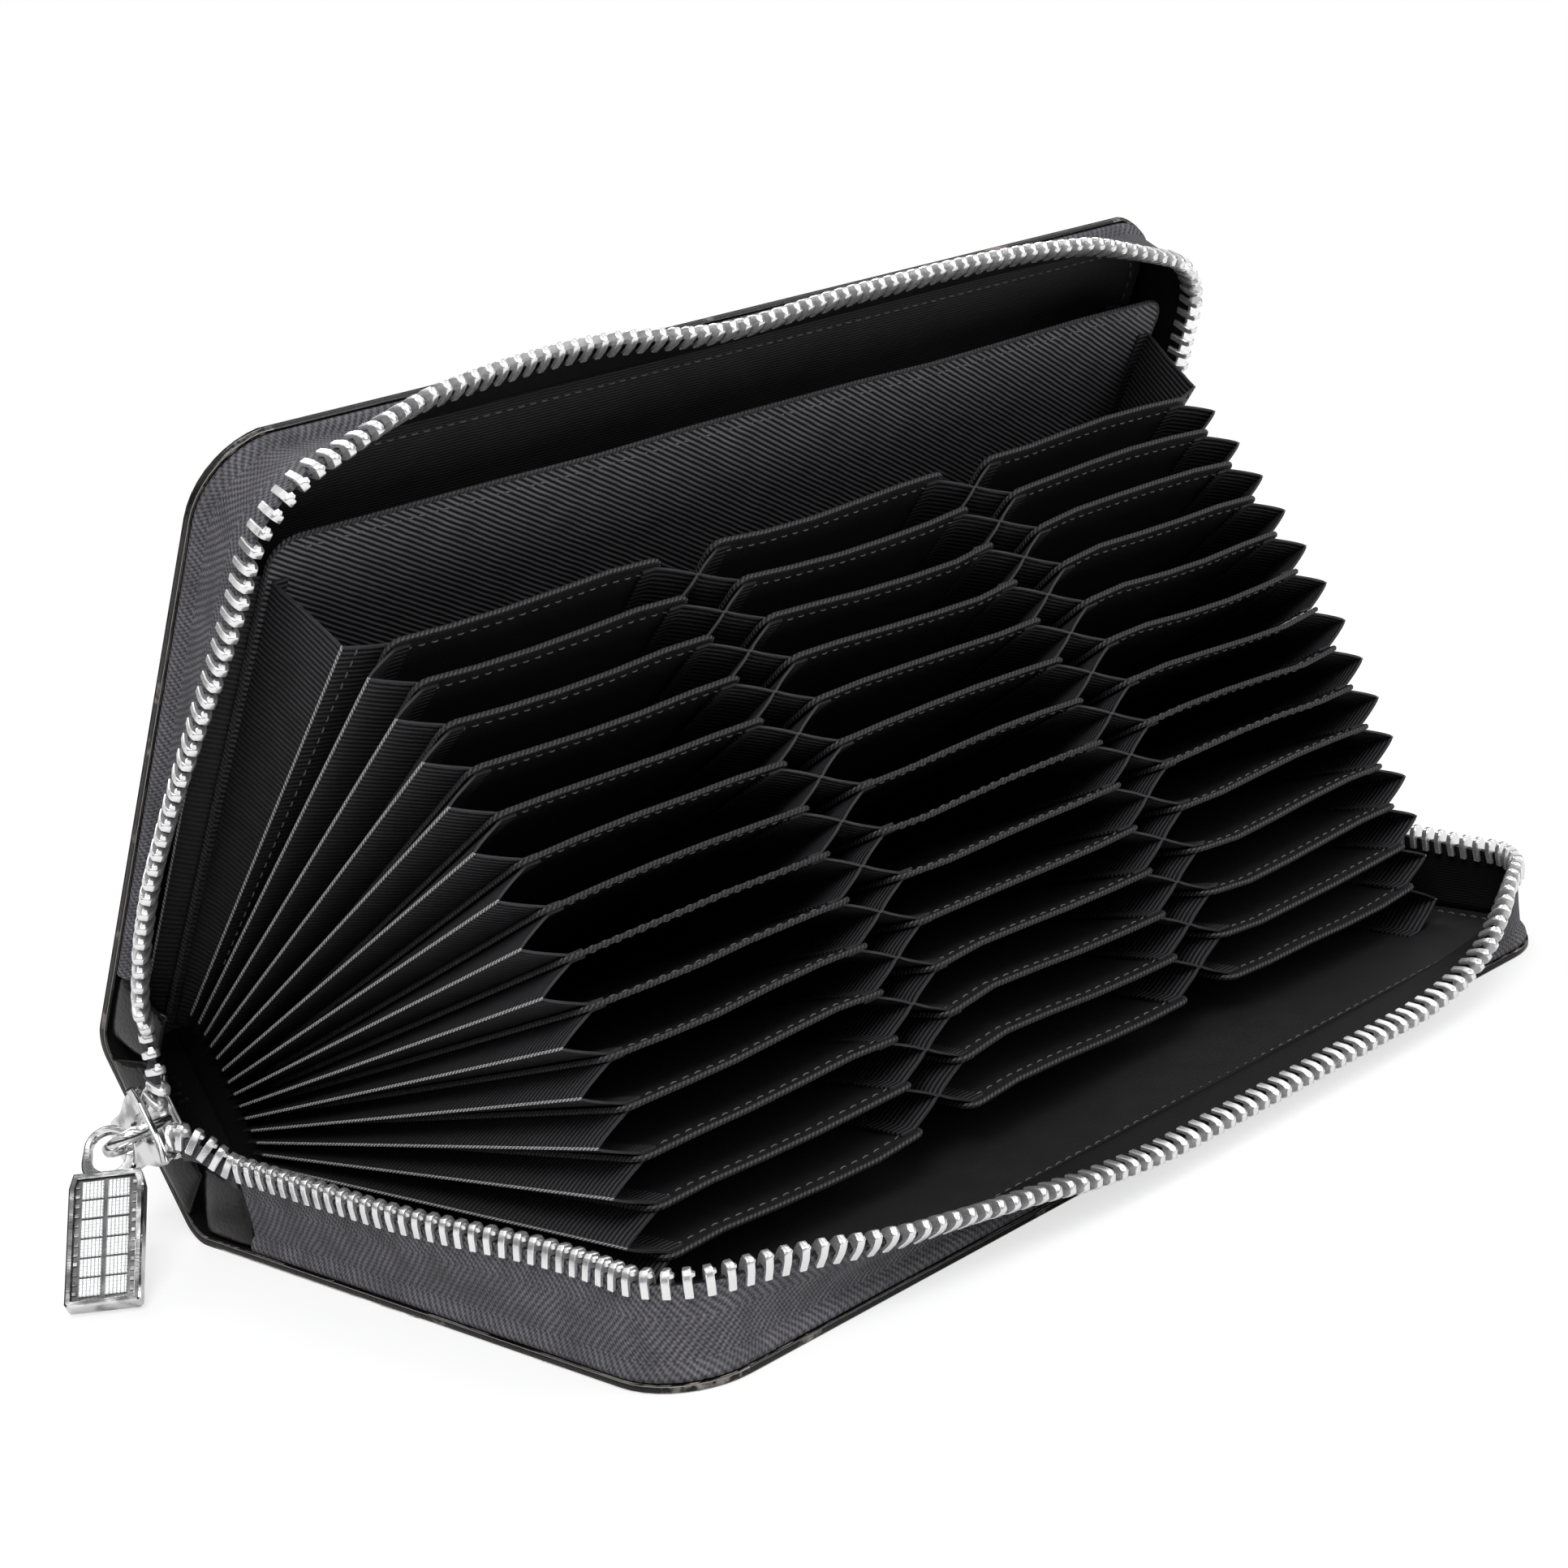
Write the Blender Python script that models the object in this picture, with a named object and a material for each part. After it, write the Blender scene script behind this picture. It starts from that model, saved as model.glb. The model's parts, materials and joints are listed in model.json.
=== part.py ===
"""A zip-around travel document wallet that lies half open on its front cover.

The wallet frame has X along the spine, Y from the front half to the rear half and Z from the
spine to the mouth. Everything is drawn there, on empties that stand on the hinge lines, and one
empty tilts the whole wallet until its front cover lies flat. Lengths are in metres.
"""

from math import cos, hypot, pi, radians, sin

import bmesh
import bpy
from mathutils import Matrix, Vector

MM = 0.001

# Overall sizes
COVER_LENGTH = 202 * MM
COVER_HEIGHT = 106 * MM
COVER_CORNER = 12 * MM
SPINE_CORNER = 1.5 * MM
HINGE_SPACING = 33 * MM
OPEN_ANGLE = radians(30.5)
LEATHER = 1.2 * MM
LEATHER_EDGE = 0.5 * MM
CLEARANCE = 0.3 * MM
OVERRUN = 2 * MM
ARC_STEPS = 6
SMOOTH_ANGLE = radians(35)
BEVEL_ANGLE = radians(40)

# Board and lining inside each cover
BOARD = 0.9 * MM
LINING = 0.5 * MM
LINING_INSET = 2.9 * MM
PANEL_START = 3 * MM

# Zipper tape
TAPE = 0.7 * MM
TAPE_INSET = 1.5 * MM
TAPE_FOOT = 5 * MM
TAPE_WIDTH = 12 * MM
TAPE_BEND_DEPTH = 3 * MM
TAPE_STEPS = 30
BEND_SHARES = (0.0, 0.1, 0.28, 0.6, 1.0)

# Zipper teeth
TOOTH_PITCH = 2.7 * MM
TOOTH_WIDTH = 1.05 * MM
TOOTH_LENGTH = 3.8 * MM
TOOTH_THICKNESS = 2.6 * MM
TOOTH_OVERLAP = 1.3 * MM
BEAD_LENGTH = 2.2 * MM
BEAD_THICKNESS = 1.1 * MM
STOP_LENGTH = 2.6 * MM
CHAIN_LEAD = 2.2 * MM

# Lean of the tape away from upright: share of the rim, then degrees outward
FRONT_LEAN_SHARES = (
    (0.0, 8), (0.11, 8), (0.156, -5), (0.188, -15), (0.263, 7), (0.285, 28), (0.306, 44),
    (0.328, 54), (0.36, 64), (0.403, 80), (0.446, 96), (0.651, 96), (0.683, 75), (0.712, 50),
    (0.732, 14), (0.755, -9), (0.812, -11), (0.833, 9), (1.0, 9),
)
REAR_LEAN_SHARES = (
    (0.0, 27), (0.012, 41), (0.048, 48), (0.091, 46), (0.124, 36), (0.167, 26), (0.199, 13),
    (0.235, 9), (0.263, 29), (0.285, 52), (0.328, 64), (0.392, 70), (0.457, 48), (0.511, 56),
    (0.608, 57), (0.661, 52), (0.704, 40), (0.732, 8), (0.78, -13), (0.823, 24), (1.0, 20),
)

# Leather wraps over the tape ends
WRAP_END = 13.7 * MM
WRAP_REACH = 11.6 * MM
WRAP_THICKNESS = 1.6 * MM
WRAP_SLANT = 4 * MM
WRAP_EDGE = 0.4 * MM

# Spine ends
SPINE_END_WALL = 0.8 * MM
SPINE_END_FOOT = 7 * MM
SPINE_END_HEIGHT = 9 * MM
SPINE_END_HALF_WIDTH = 13 * MM
SPINE_END_TOP_HALF_WIDTH = 9 * MM

# Pockets
POCKET_AXIS_HEIGHT = 8 * MM
LEAF = 0.6 * MM
LEAF_COUNT = 14
LEAF_PITCH = 1.75 * MM
LEAF_DROP = 21 * MM
LEAF_END_INSET = 15 * MM
LEAF_ARC_STEPS = 2
LEAF_CORNER = 2 * MM
LEAF_BOTTOM_STRIP = 6 * MM
LEAF_REAR_ANGLE = radians(17.8)
LEAF_FRONT_ANGLE = radians(-29.1)
COLUMN_COUNT = 3
COLUMN_GAP = 10 * MM
BASE_INSET = 12 * MM
BASE_RIDGE = 0.6 * MM
BASE_GROOVE = 0.8 * MM

# Panel between the two large rear pockets
DIVIDER_OFFSET = 13.1 * MM
DIVIDER_DROP = 15.5 * MM
DIVIDER_INSET = 6 * MM
DIVIDER_CORNER = 4 * MM
DIVIDER_ANGLE = radians(28)

# Folded side gussets
FOLD = 0.35 * MM
FOLD_BOTTOM = 1 * MM
FOLD_STRIP = 1.4 * MM
FOLD_TOP_DROP = 1 * MM
FOLD_HEM = 1.2 * MM
FOLD_CREASE_INSET = 9.5 * MM
FOLD_CREASE_WALL = 0.6 * MM
FOLD_BOTTOM_SHARE = 0.35
FOLD_MIDDLE_SHARE = 0.4
CASH_CREASE_INSET = 3.2 * MM
PHONE_FOLD_INSET = 9 * MM
PHONE_FOLD_SHARE = 0.12
PHONE_FOLD_LAP = 1.4 * MM
COVER_FOLD_START = 6 * MM

# Slider
SLIDER_X = -3.5 * MM
SLIDER_TAIL = 1.8 * MM
SLIDER_LENGTH = 11.2 * MM
SLIDER_PLATE = 0.9 * MM
SLIDER_PLAY = 0.25 * MM
SLIDER_RAIL = 0.8 * MM
SLIDER_SLOT = 1.2 * MM
SLIDER_EDGE = 0.35 * MM
WEDGE_HALF_WIDTH = 0.8 * MM
WEDGE_LENGTH = 4.5 * MM
NARROW_SHARE = 0.3
SHOULDER_SHARE = 0.72
ARCH_PLACE_SHARE = 0.42
ARCH_HALF_LENGTH = 4.6 * MM
ARCH_HEIGHT = 4.7 * MM
ARCH_BAR = 1.1 * MM
ARCH_WIDTH = 1.7 * MM
ARCH_STEPS = 10

# Bottom stop
BOTTOM_STOP_HEIGHT = 1.9 * MM
BOTTOM_STOP_HALF_WIDTH = 3 * MM
BOTTOM_STOP_THICKNESS = 3.4 * MM

# Pull tab
PULL_LENGTH = 29 * MM
PULL_WIDTH = 11 * MM
PULL_THICKNESS = 2.6 * MM
PULL_TAPER = 9.5 * MM
PULL_CORNER = 0.8 * MM
PULL_EDGE = 0.3 * MM
EYE_RIM = 1.1 * MM
EYE_WIDTH = 5.2 * MM
EYE_LENGTH = 6.6 * MM
EYE_SLACK = 0.3 * MM
EYE_THICKNESS = 1.4 * MM
RIM_WIDTH = 1.3 * MM
GROOVE_WIDTH = 0.6 * MM
GROOVE_DEPTH = 0.35 * MM
GROOVE_ROWS = 5
PULL_SLOPE = radians(41)
PULL_TURN = radians(45)

# The same sizes as places across a cover, from its middle plane inwards
INNER_FACE = LEATHER / 2 + CLEARANCE
LINING_FACE = INNER_FACE + BOARD + CLEARANCE
LINING_TOP = LINING_FACE + LINING
WRAP_START = INNER_FACE + SPINE_END_WALL + 2 * CLEARANCE
LEAF_LENGTH = COVER_HEIGHT - LEAF_DROP
DIVIDER_LENGTH = COVER_HEIGHT - DIVIDER_DROP
TILT = pi / 2 - OPEN_ANGLE
SLIDER_THICKNESS = TOOTH_THICKNESS + 2 * (SLIDER_PLAY + SLIDER_PLATE)
SLIDER_TOP = SLIDER_TAIL + SLIDER_LENGTH
CHAIN_OFFSET = (TOOTH_LENGTH - TOOTH_OVERLAP) / 2
PULL_TOP = EYE_WIDTH / 2 + EYE_RIM
MOUTH_OFFSET = WEDGE_HALF_WIDTH + SLIDER_PLAY + TOOTH_LENGTH / 2

# Colour, roughness, metallic
FINISHES = {
    "leather": ((0.012, 0.012, 0.013), 0.28, 0.0),
    "board": ((0.35, 0.3, 0.22), 0.8, 0.0),
    "lining": ((0.016, 0.016, 0.017), 0.7, 0.0),
    "grosgrain": ((0.022, 0.022, 0.024), 0.75, 0.0),
    "tape": ((0.06, 0.06, 0.063), 0.85, 0.0),
    "metal": ((0.75, 0.75, 0.77), 0.22, 1.0),
}


def clear_scene():
    for obj in list(bpy.data.objects):
        bpy.data.objects.remove(obj, do_unlink=True)


def make_materials():
    materials = {}
    for name, (colour, roughness, metallic) in FINISHES.items():
        material = bpy.data.materials.new(name)
        material.use_nodes = True
        shader = material.node_tree.nodes["Principled BSDF"]
        shader.inputs["Base Color"].default_value = (*colour, 1)
        shader.inputs["Roughness"].default_value = roughness
        shader.inputs["Metallic"].default_value = metallic
        materials[name] = material
    return materials


# Mesh helpers


def add_object(name, mesh, material, parent, drawn_on=None):
    """One sub-part, with a copy of its finish as its own material.

    It hangs on its hinge, and its points may be drawn on another empty.
    """
    obj = bpy.data.objects.new(name, mesh)
    bpy.context.scene.collection.objects.link(obj)
    if material:
        own = MATERIALS[material].copy()
        own.name = name + "_" + material
        mesh.materials.append(own)
    obj.parent = parent
    if drawn_on:
        bpy.context.view_layer.update()
        obj.matrix_parent_inverse = parent.matrix_world.inverted() @ drawn_on.matrix_world
    return obj


def add_empty(name, place, turn, parent=None):
    """A hinge line: an empty turned about X."""
    empty = bpy.data.objects.new(name, None)
    bpy.context.scene.collection.objects.link(empty)
    empty.parent = parent
    empty.location = place
    empty.rotation_euler = (turn, 0, 0)
    return empty


def finish_mesh(name, bm):
    """A mesh with its faces out, round where it is round and sharp at its edges."""
    bmesh.ops.recalc_face_normals(bm, faces=bm.faces[:])
    mesh = bpy.data.meshes.new(name)
    bm.to_mesh(mesh)
    bm.free()
    mesh.shade_smooth()
    mesh.set_sharp_from_angle(angle=SMOOTH_ANGLE)
    return mesh


def prism_mesh(name, outline, start, end, place):
    """An outline of (a, b) points drawn from depth start to end, with place(a, b, depth)."""
    bm = bmesh.new()
    low = [bm.verts.new(place(a, b, start)) for a, b in outline]
    high = [bm.verts.new(place(a, b, end)) for a, b in outline]
    bm.faces.new(low)
    bm.faces.new(high)
    for i in range(len(outline)):
        j = (i + 1) % len(outline)
        bm.faces.new((low[i], low[j], high[j], high[i]))
    return finish_mesh(name, bm)


def loft_mesh(name, rings):
    """A closed skin through rings of the same number of points, capped at both ends."""
    bm = bmesh.new()
    loops = [[bm.verts.new(point) for point in ring] for ring in rings]
    bm.faces.new(loops[0])
    bm.faces.new(loops[-1])
    for first, second in zip(loops, loops[1:]):
        for i in range(len(first)):
            j = (i + 1) % len(first)
            bm.faces.new((first[i], first[j], second[j], second[i]))
    return finish_mesh(name, bm)


def add_bevel(obj, width, segments=2):
    bevel = obj.modifiers.new("rounded_edges", "BEVEL")
    bevel.width = width
    bevel.segments = segments
    bevel.limit_method = "ANGLE"
    bevel.angle_limit = BEVEL_ANGLE


def cut(obj, cutter, operation="DIFFERENCE"):
    """A Boolean with an object that the build leaves out."""
    cutter.hide_render = True
    cutter.display_type = "WIRE"
    boolean = obj.modifiers.new(cutter.name, "BOOLEAN")
    boolean.operation = operation
    boolean.solver = "EXACT"
    boolean.object = cutter


def arc_points(centre, radius, start, end, steps):
    points = []
    for i in range(steps + 1):
        angle = start + (end - start) * i / steps
        points.append((centre[0] + radius * cos(angle), centre[1] + radius * sin(angle)))
    return points


def rounded_panel(left, right, bottom, top, top_radius, bottom_radius=0, steps=ARC_STEPS):
    """An outline in X and Z, with round corners at the free edge and at the spine."""
    points = []
    corners = (
        (right - top_radius, top - top_radius, top_radius, 0),
        (left + top_radius, top - top_radius, top_radius, pi / 2),
        (left + bottom_radius, bottom + bottom_radius, bottom_radius, pi),
        (right - bottom_radius, bottom + bottom_radius, bottom_radius, 3 * pi / 2),
    )
    for x, z, radius, start in corners:
        if radius:
            points += arc_points((x, z), radius, start, start + pi / 2, steps)
        else:
            points.append((x, z))
    return points


# Covers


def add_panel(name, half, outline, low, high, material):
    """A flat piece of one cover, from depth low to high inwards from the cover's middle plane."""
    mesh = prism_mesh(name, outline, low, high, lambda x, z, depth: (x, half.inward * depth, z))
    return add_object(name, mesh, material, half.hinge)


def cover_outline(inset, bottom, bottom_radius=0):
    return rounded_panel(
        inset,
        COVER_LENGTH - inset,
        bottom,
        COVER_HEIGHT - inset,
        COVER_CORNER - inset,
        bottom_radius,
    )


def build_cover(half):
    outline = cover_outline(0, -LEATHER / 2, SPINE_CORNER)
    cover = add_panel(half.name + "_cover", half, outline, -LEATHER / 2, LEATHER / 2, "leather")
    add_bevel(cover, LEATHER_EDGE)
    board_inset = TAPE_INSET + TAPE_FOOT + CLEARANCE
    outline = cover_outline(board_inset, PANEL_START)
    add_panel(half.name + "_board", half, outline, INNER_FACE, INNER_FACE + BOARD, "board")
    outline = cover_outline(LINING_INSET, PANEL_START)
    add_panel(half.name + "_lining", half, outline, LINING_FACE, LINING_TOP, "lining")


# Zipper tape and teeth


def rim_place(share):
    """The point at this share of the rim path, in X and Z, and the outward direction there."""
    radius = COVER_CORNER - TAPE_INSET
    start = WRAP_END + CLEARANCE
    side = COVER_HEIGHT - COVER_CORNER - start
    top = COVER_LENGTH - 2 * COVER_CORNER
    arc = radius * pi / 2
    along = share * (2 * side + top + 2 * arc)
    left = TAPE_INSET
    right = COVER_LENGTH - TAPE_INSET
    shoulder = COVER_HEIGHT - COVER_CORNER
    if along < side:
        return Vector((left, 0, start + along)), Vector((-1, 0, 0))
    along -= side
    if along < arc:
        normal = Vector((-cos(along / radius), 0, sin(along / radius)))
        return Vector((COVER_CORNER, 0, shoulder)) + radius * normal, normal
    along -= arc
    if along < top:
        place = Vector((COVER_CORNER + along, 0, COVER_HEIGHT - TAPE_INSET))
        return place, Vector((0, 0, 1))
    along -= top
    if along < arc:
        normal = Vector((sin(along / radius), 0, cos(along / radius)))
        return Vector((COVER_LENGTH - COVER_CORNER, 0, shoulder)) + radius * normal, normal
    along -= arc
    return Vector((right, 0, shoulder - along)), Vector((1, 0, 0))


def lean_at(shares, share):
    """The tape's lean in radians, eased between the listed places."""
    for (start, first), (end, second) in zip(shares, shares[1:]):
        if share <= end:
            part = (share - start) / (end - start)
            part = part * part * (3 - 2 * part)
            return radians(first + (second - first) * part)
    return radians(shares[-1][1])


def tape_section(lean):
    """The tape's middle line in outward and depth, from the sewn foot to the free edge."""
    foot_depth = INNER_FACE + TAPE / 2
    points = [(-TAPE_FOOT, foot_depth), (-TAPE, foot_depth)]
    points.append((0, foot_depth + TAPE))
    outward, depth = 0, TAPE_BEND_DEPTH
    points.append((outward, depth))
    free = TAPE_WIDTH - TAPE_BEND_DEPTH
    for first, second in zip(BEND_SHARES, BEND_SHARES[1:]):
        angle = lean * min(1, first + second + BEND_SHARES[1])
        outward += sin(angle) * free * (second - first)
        depth += cos(angle) * free * (second - first)
        points.append((outward, depth))
    return points


def thick_line(points, thickness):
    """A closed outline round a line, with mitred corners."""
    left, right = [], []
    for i, (x, y) in enumerate(points):
        before = points[max(i - 1, 0)]
        after = points[min(i + 1, len(points) - 1)]
        first = Vector((x - before[0], y - before[1]))
        second = Vector((after[0] - x, after[1] - y))
        first = first.normalized() if first.length else second.normalized()
        second = second.normalized() if second.length else first
        middle = (first + second).normalized()
        half = thickness / 2 / max(middle.dot(first), 0.5)
        normal = Vector((-middle.y, middle.x)) * half
        left.append((x + normal.x, y + normal.y))
        right.append((x - normal.x, y - normal.y))
    return left + right[::-1]


def build_tape(half):
    rings = []
    for share in tape_shares():
        place, normal = rim_place(share)
        section = thick_line(tape_section(lean_at(half.lean_shares, share)), TAPE)
        inward = Vector((0, half.inward, 0))
        rings.append([place + normal * out + inward * depth for out, depth in section])
    add_object(half.name + "_zip_tape", loft_mesh(half.name + "_zip_tape", rings), "tape", half.hinge)


def tape_shares():
    """Stations along the rim: even on the runs and closer round the corners."""
    radius = COVER_CORNER - TAPE_INSET
    side = COVER_HEIGHT - COVER_CORNER - WRAP_END - CLEARANCE
    top = COVER_LENGTH - 2 * COVER_CORNER
    arc = radius * pi / 2
    total = 2 * (side + arc) + top
    shares = []
    start = 0
    for length in (side, arc, top, arc, side):
        steps = ARC_STEPS if length == arc else max(2, round(TAPE_STEPS * length / total))
        shares += [(start + length * i / steps) / total for i in range(steps)]
        start += length
    return shares + [1.0]


def row_place(half, share):
    """The middle of the teeth row at this share: its point and its direction away from the tape."""
    place, normal = rim_place(share)
    section = tape_section(lean_at(half.lean_shares, share))
    (x0, y0), (x1, y1) = section[-2:]
    out = Vector((x1 - x0, y1 - y0)).normalized()
    reach = CLEARANCE + TOOTH_LENGTH / 2
    inward = Vector((0, half.inward, 0))
    point = place + normal * (x1 + out.x * reach) + inward * (y1 + out.y * reach)
    return point, normal * out.x + inward * out.y


def walk(points, pitch):
    """Places at even distances along a line of (point, direction) pairs."""
    placed = []
    due = pitch / 2
    run = 0
    for (first, up), (second, up_next) in zip(points, points[1:]):
        step = (second - first).length
        while run + step >= due:
            part = (due - run) / step
            tangent = (second - first).normalized()
            placed.append((first.lerp(second, part), up.lerp(up_next, part), tangent))
            due += pitch
        run += step
    return placed


def row_ring(middle, up, across, length, thickness):
    """A rectangle across the row, with its tape side at the teeth's tape side."""
    middle = middle - up * (TOOTH_LENGTH - length) / 2
    corners = ((-0.5, -0.5), (0.5, -0.5), (0.5, 0.5), (-0.5, 0.5))
    return [middle + up * (a * length) + across * (b * thickness) for a, b in corners]


def tooth_rings(places, groove_shifts=(TOOTH_PITCH / 2,)):
    """Rings for a bead that swells into one tooth at each place."""
    rings = []
    for centre, up, tangent in places:
        up = (up - tangent * up.dot(tangent)).normalized()
        across = tangent.cross(up)
        for shift in (-TOOTH_WIDTH / 2, TOOTH_WIDTH / 2):
            middle = centre + tangent * shift
            rings.append(row_ring(middle, up, across, TOOTH_LENGTH, TOOTH_THICKNESS))
        for shift in groove_shifts:
            middle = centre + tangent * shift
            rings.append(row_ring(middle, up, across, BEAD_LENGTH, BEAD_THICKNESS))
    return rings[:-len(groove_shifts)]


def build_teeth(half):
    steps = TAPE_STEPS * ARC_STEPS
    line = [row_place(half, i / steps) for i in range(steps + 1)]
    places = walk(line, TOOTH_PITCH)
    teeth, last = places[:-2], places[-2]
    name = half.name + "_zip_teeth"
    add_object(name, loft_mesh(name, tooth_rings(teeth)), "metal", half.hinge)
    centre, up, tangent = last
    across = tangent.cross(up)
    rings = [
        row_ring(centre + tangent * shift, up, across, TOOTH_LENGTH, TOOTH_THICKNESS)
        for shift in (-TOOTH_WIDTH / 2, STOP_LENGTH - TOOTH_WIDTH / 2)
    ]
    name = half.name + "_top_stop"
    stop = add_object(name, loft_mesh(name, rings), "metal", half.hinge)
    add_bevel(stop, CLEARANCE, 1)


def build_wraps(half):
    """Leather over the two tape ends, beside the hinge line."""
    profile = (
        (WRAP_START, INNER_FACE),
        (WRAP_END, INNER_FACE),
        (WRAP_END, WRAP_REACH),
        (WRAP_START + WRAP_SLANT, WRAP_REACH),
        (WRAP_START, WRAP_REACH - WRAP_SLANT),
    )
    for end, middle in (("left", TAPE_INSET), ("right", COVER_LENGTH - TAPE_INSET)):
        name = half.name + "_end_wrap_" + end
        mesh = prism_mesh(
            name,
            profile,
            middle - WRAP_THICKNESS / 2,
            middle + WRAP_THICKNESS / 2,
            lambda z, depth, x: (x, half.inward * depth, z),
        )
        add_bevel(add_object(name, mesh, "leather", half.hinge), WRAP_EDGE, 1)


# Spine


def build_spine(stand):
    edge = HINGE_SPACING / 2 - LEATHER / 2 - CLEARANCE
    outline = ((0, -edge), (COVER_LENGTH, -edge), (COVER_LENGTH, edge), (0, edge))
    mesh = prism_mesh("spine", outline, -LEATHER / 2, LEATHER / 2, lambda x, y, z: (x, y, z))
    add_bevel(stand.add("spine", mesh, "leather"), LEATHER_EDGE)


def build_spine_ends(stand):
    """A leather tab at each end of the spine: a sewn foot and a wall that closes the end."""
    foot_half_width = SPINE_END_HALF_WIDTH - SPINE_END_WALL
    for end, edge, inward in (("left", 0, 1), ("right", COVER_LENGTH, -1)):
        name = "spine_end_" + end
        outer = edge - inward * SPINE_END_WALL
        wall = (
            (-SPINE_END_HALF_WIDTH, INNER_FACE),
            (SPINE_END_HALF_WIDTH, INNER_FACE),
            (SPINE_END_TOP_HALF_WIDTH, SPINE_END_HEIGHT),
            (-SPINE_END_TOP_HALF_WIDTH, SPINE_END_HEIGHT),
        )
        mesh = prism_mesh(name, wall, outer, edge, lambda y, z, x: (x, y, z))
        tab = stand.add(name, mesh, "leather")
        foot = (
            (-foot_half_width, INNER_FACE),
            (foot_half_width, INNER_FACE),
            (foot_half_width, INNER_FACE + SPINE_END_WALL),
            (-foot_half_width, INNER_FACE + SPINE_END_WALL),
        )
        start = edge - inward * SPINE_END_WALL / 2
        reach = edge + inward * SPINE_END_FOOT
        mesh = prism_mesh(name + "_foot", foot, start, reach, lambda y, z, x: (x, y, z))
        cut(tab, stand.add(name + "_foot", mesh, None), "UNION")


def leaf_angle(index):
    step = (LEAF_FRONT_ANGLE - LEAF_REAR_ANGLE) / (LEAF_COUNT - 1)
    return LEAF_REAR_ANGLE + step * index


def leaf_offset(index):
    return LEAF_PITCH * ((LEAF_COUNT - 1) / 2 - index)


def build_pocket_base(stand):
    """The sewn stack of bottom folds: a ridge under each leaf and a groove between leaves."""
    top = POCKET_AXIS_HEIGHT - hypot(LEAF / 2, LEAF / 2) - CLEARANCE
    side = HINGE_SPACING / 2 - LINING_TOP - CLEARANCE
    outline = [(side, INNER_FACE), (side, top)]
    for index in range(LEAF_COUNT):
        y = leaf_offset(index)
        outline += [(y + BASE_RIDGE / 2, top), (y - BASE_RIDGE / 2, top)]
        if index < LEAF_COUNT - 1:
            outline.append((y - LEAF_PITCH / 2, top - BASE_GROOVE))
    outline += [(-side, top), (-side, INNER_FACE)]
    mesh = prism_mesh(
        "pocket_base",
        outline,
        BASE_INSET,
        COVER_LENGTH - BASE_INSET,
        lambda y, z, x: (x, y, z),
    )
    stand.add("pocket_base", mesh, "lining")


# Leaves and folds


def columns():
    """The left and right edge of each card column."""
    total = COVER_LENGTH - 2 * LEAF_END_INSET
    width = (total - (COLUMN_COUNT - 1) * COLUMN_GAP) / COLUMN_COUNT
    pitch = width + COLUMN_GAP
    return [
        (LEAF_END_INSET + pitch * i, LEAF_END_INSET + pitch * i + width)
        for i in range(COLUMN_COUNT)
    ]


def leaf_outline():
    """Three column panels that stand on one bottom strip."""
    points = []
    top = LEAF_LENGTH - LEAF_CORNER
    for left, right in columns():
        points.append((left, LEAF_BOTTOM_STRIP))
        points += arc_points((left + LEAF_CORNER, top), LEAF_CORNER, pi, pi / 2, LEAF_ARC_STEPS)
        points += arc_points((right - LEAF_CORNER, top), LEAF_CORNER, pi / 2, 0, LEAF_ARC_STEPS)
        points.append((right, LEAF_BOTTOM_STRIP))
    points[0] = (points[0][0], -LEAF / 2)
    points[-1] = (points[-1][0], -LEAF / 2)
    return points


def build_leaves(stand):
    for index, hinge in enumerate(stand.leaves):
        name = "leaf_%02d" % (index + 1)
        mesh = prism_mesh(name, leaf_outline(), -LEAF / 2, LEAF / 2, lambda x, z, y: (x, y, z))
        add_object(name, mesh, "lining", hinge)


def build_divider(stand):
    outline = rounded_panel(
        DIVIDER_INSET,
        COVER_LENGTH - DIVIDER_INSET,
        -LEAF / 2,
        DIVIDER_LENGTH,
        DIVIDER_CORNER,
        steps=ARC_STEPS // 2,
    )
    mesh = prism_mesh("divider", outline, -LEAF / 2, LEAF / 2, lambda x, z, y: (x, y, z))
    add_object("divider", mesh, "grosgrain", stand.divider)


class Wall:
    """One side of a pocket: a flat face that folds are sewn to, as a line in Y and Z."""

    def __init__(self, base, angle, towards, half_thickness, start=0):
        self.base = Vector(base)
        self.along = Vector((sin(angle), cos(angle)))
        face = Vector((cos(angle), -sin(angle))) * towards
        self.base += face * (half_thickness + CLEARANCE) + self.along * start

    def at(self, distance):
        return self.base + self.along * distance


def leaf_wall(index, towards):
    base = (leaf_offset(index), POCKET_AXIS_HEIGHT)
    return Wall(base, leaf_angle(index), towards, LEAF / 2)


def divider_wall(towards):
    return Wall((DIVIDER_OFFSET, POCKET_AXIS_HEIGHT), DIVIDER_ANGLE, towards, LEAF / 2)


def lining_wall(inward, start):
    angle = -inward * OPEN_ANGLE
    base = (-inward * HINGE_SPACING / 2, 0)
    return Wall(base, angle, inward, LINING_TOP, start)


class Island:
    """A gusset's section. Points are (x, share across the pocket, walls of thickness to add)."""

    def __init__(self, left, right, low, high):
        self.left = left
        self.right = right
        self.low = low
        self.high = high


def end_gusset(hem_x, crease_x, direction):
    """A V whose crease points out of the wallet; direction is -1 at the left end."""
    crease = FOLD_CREASE_WALL * direction
    outer = [(hem_x, 0, 0), (crease_x, 0.5, -0.5), (crease_x, 0.5, 0.5), (hem_x, 1, 0)]
    inner = [
        (hem_x, 0, 0),
        (hem_x, 0, 1),
        (crease_x - crease, 0.5, 0),
        (hem_x, 1, -1),
        (hem_x, 1, 0),
    ]
    if direction < 0:
        return Island(outer, inner, [], [])
    return Island(inner, outer, [], [])


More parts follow.
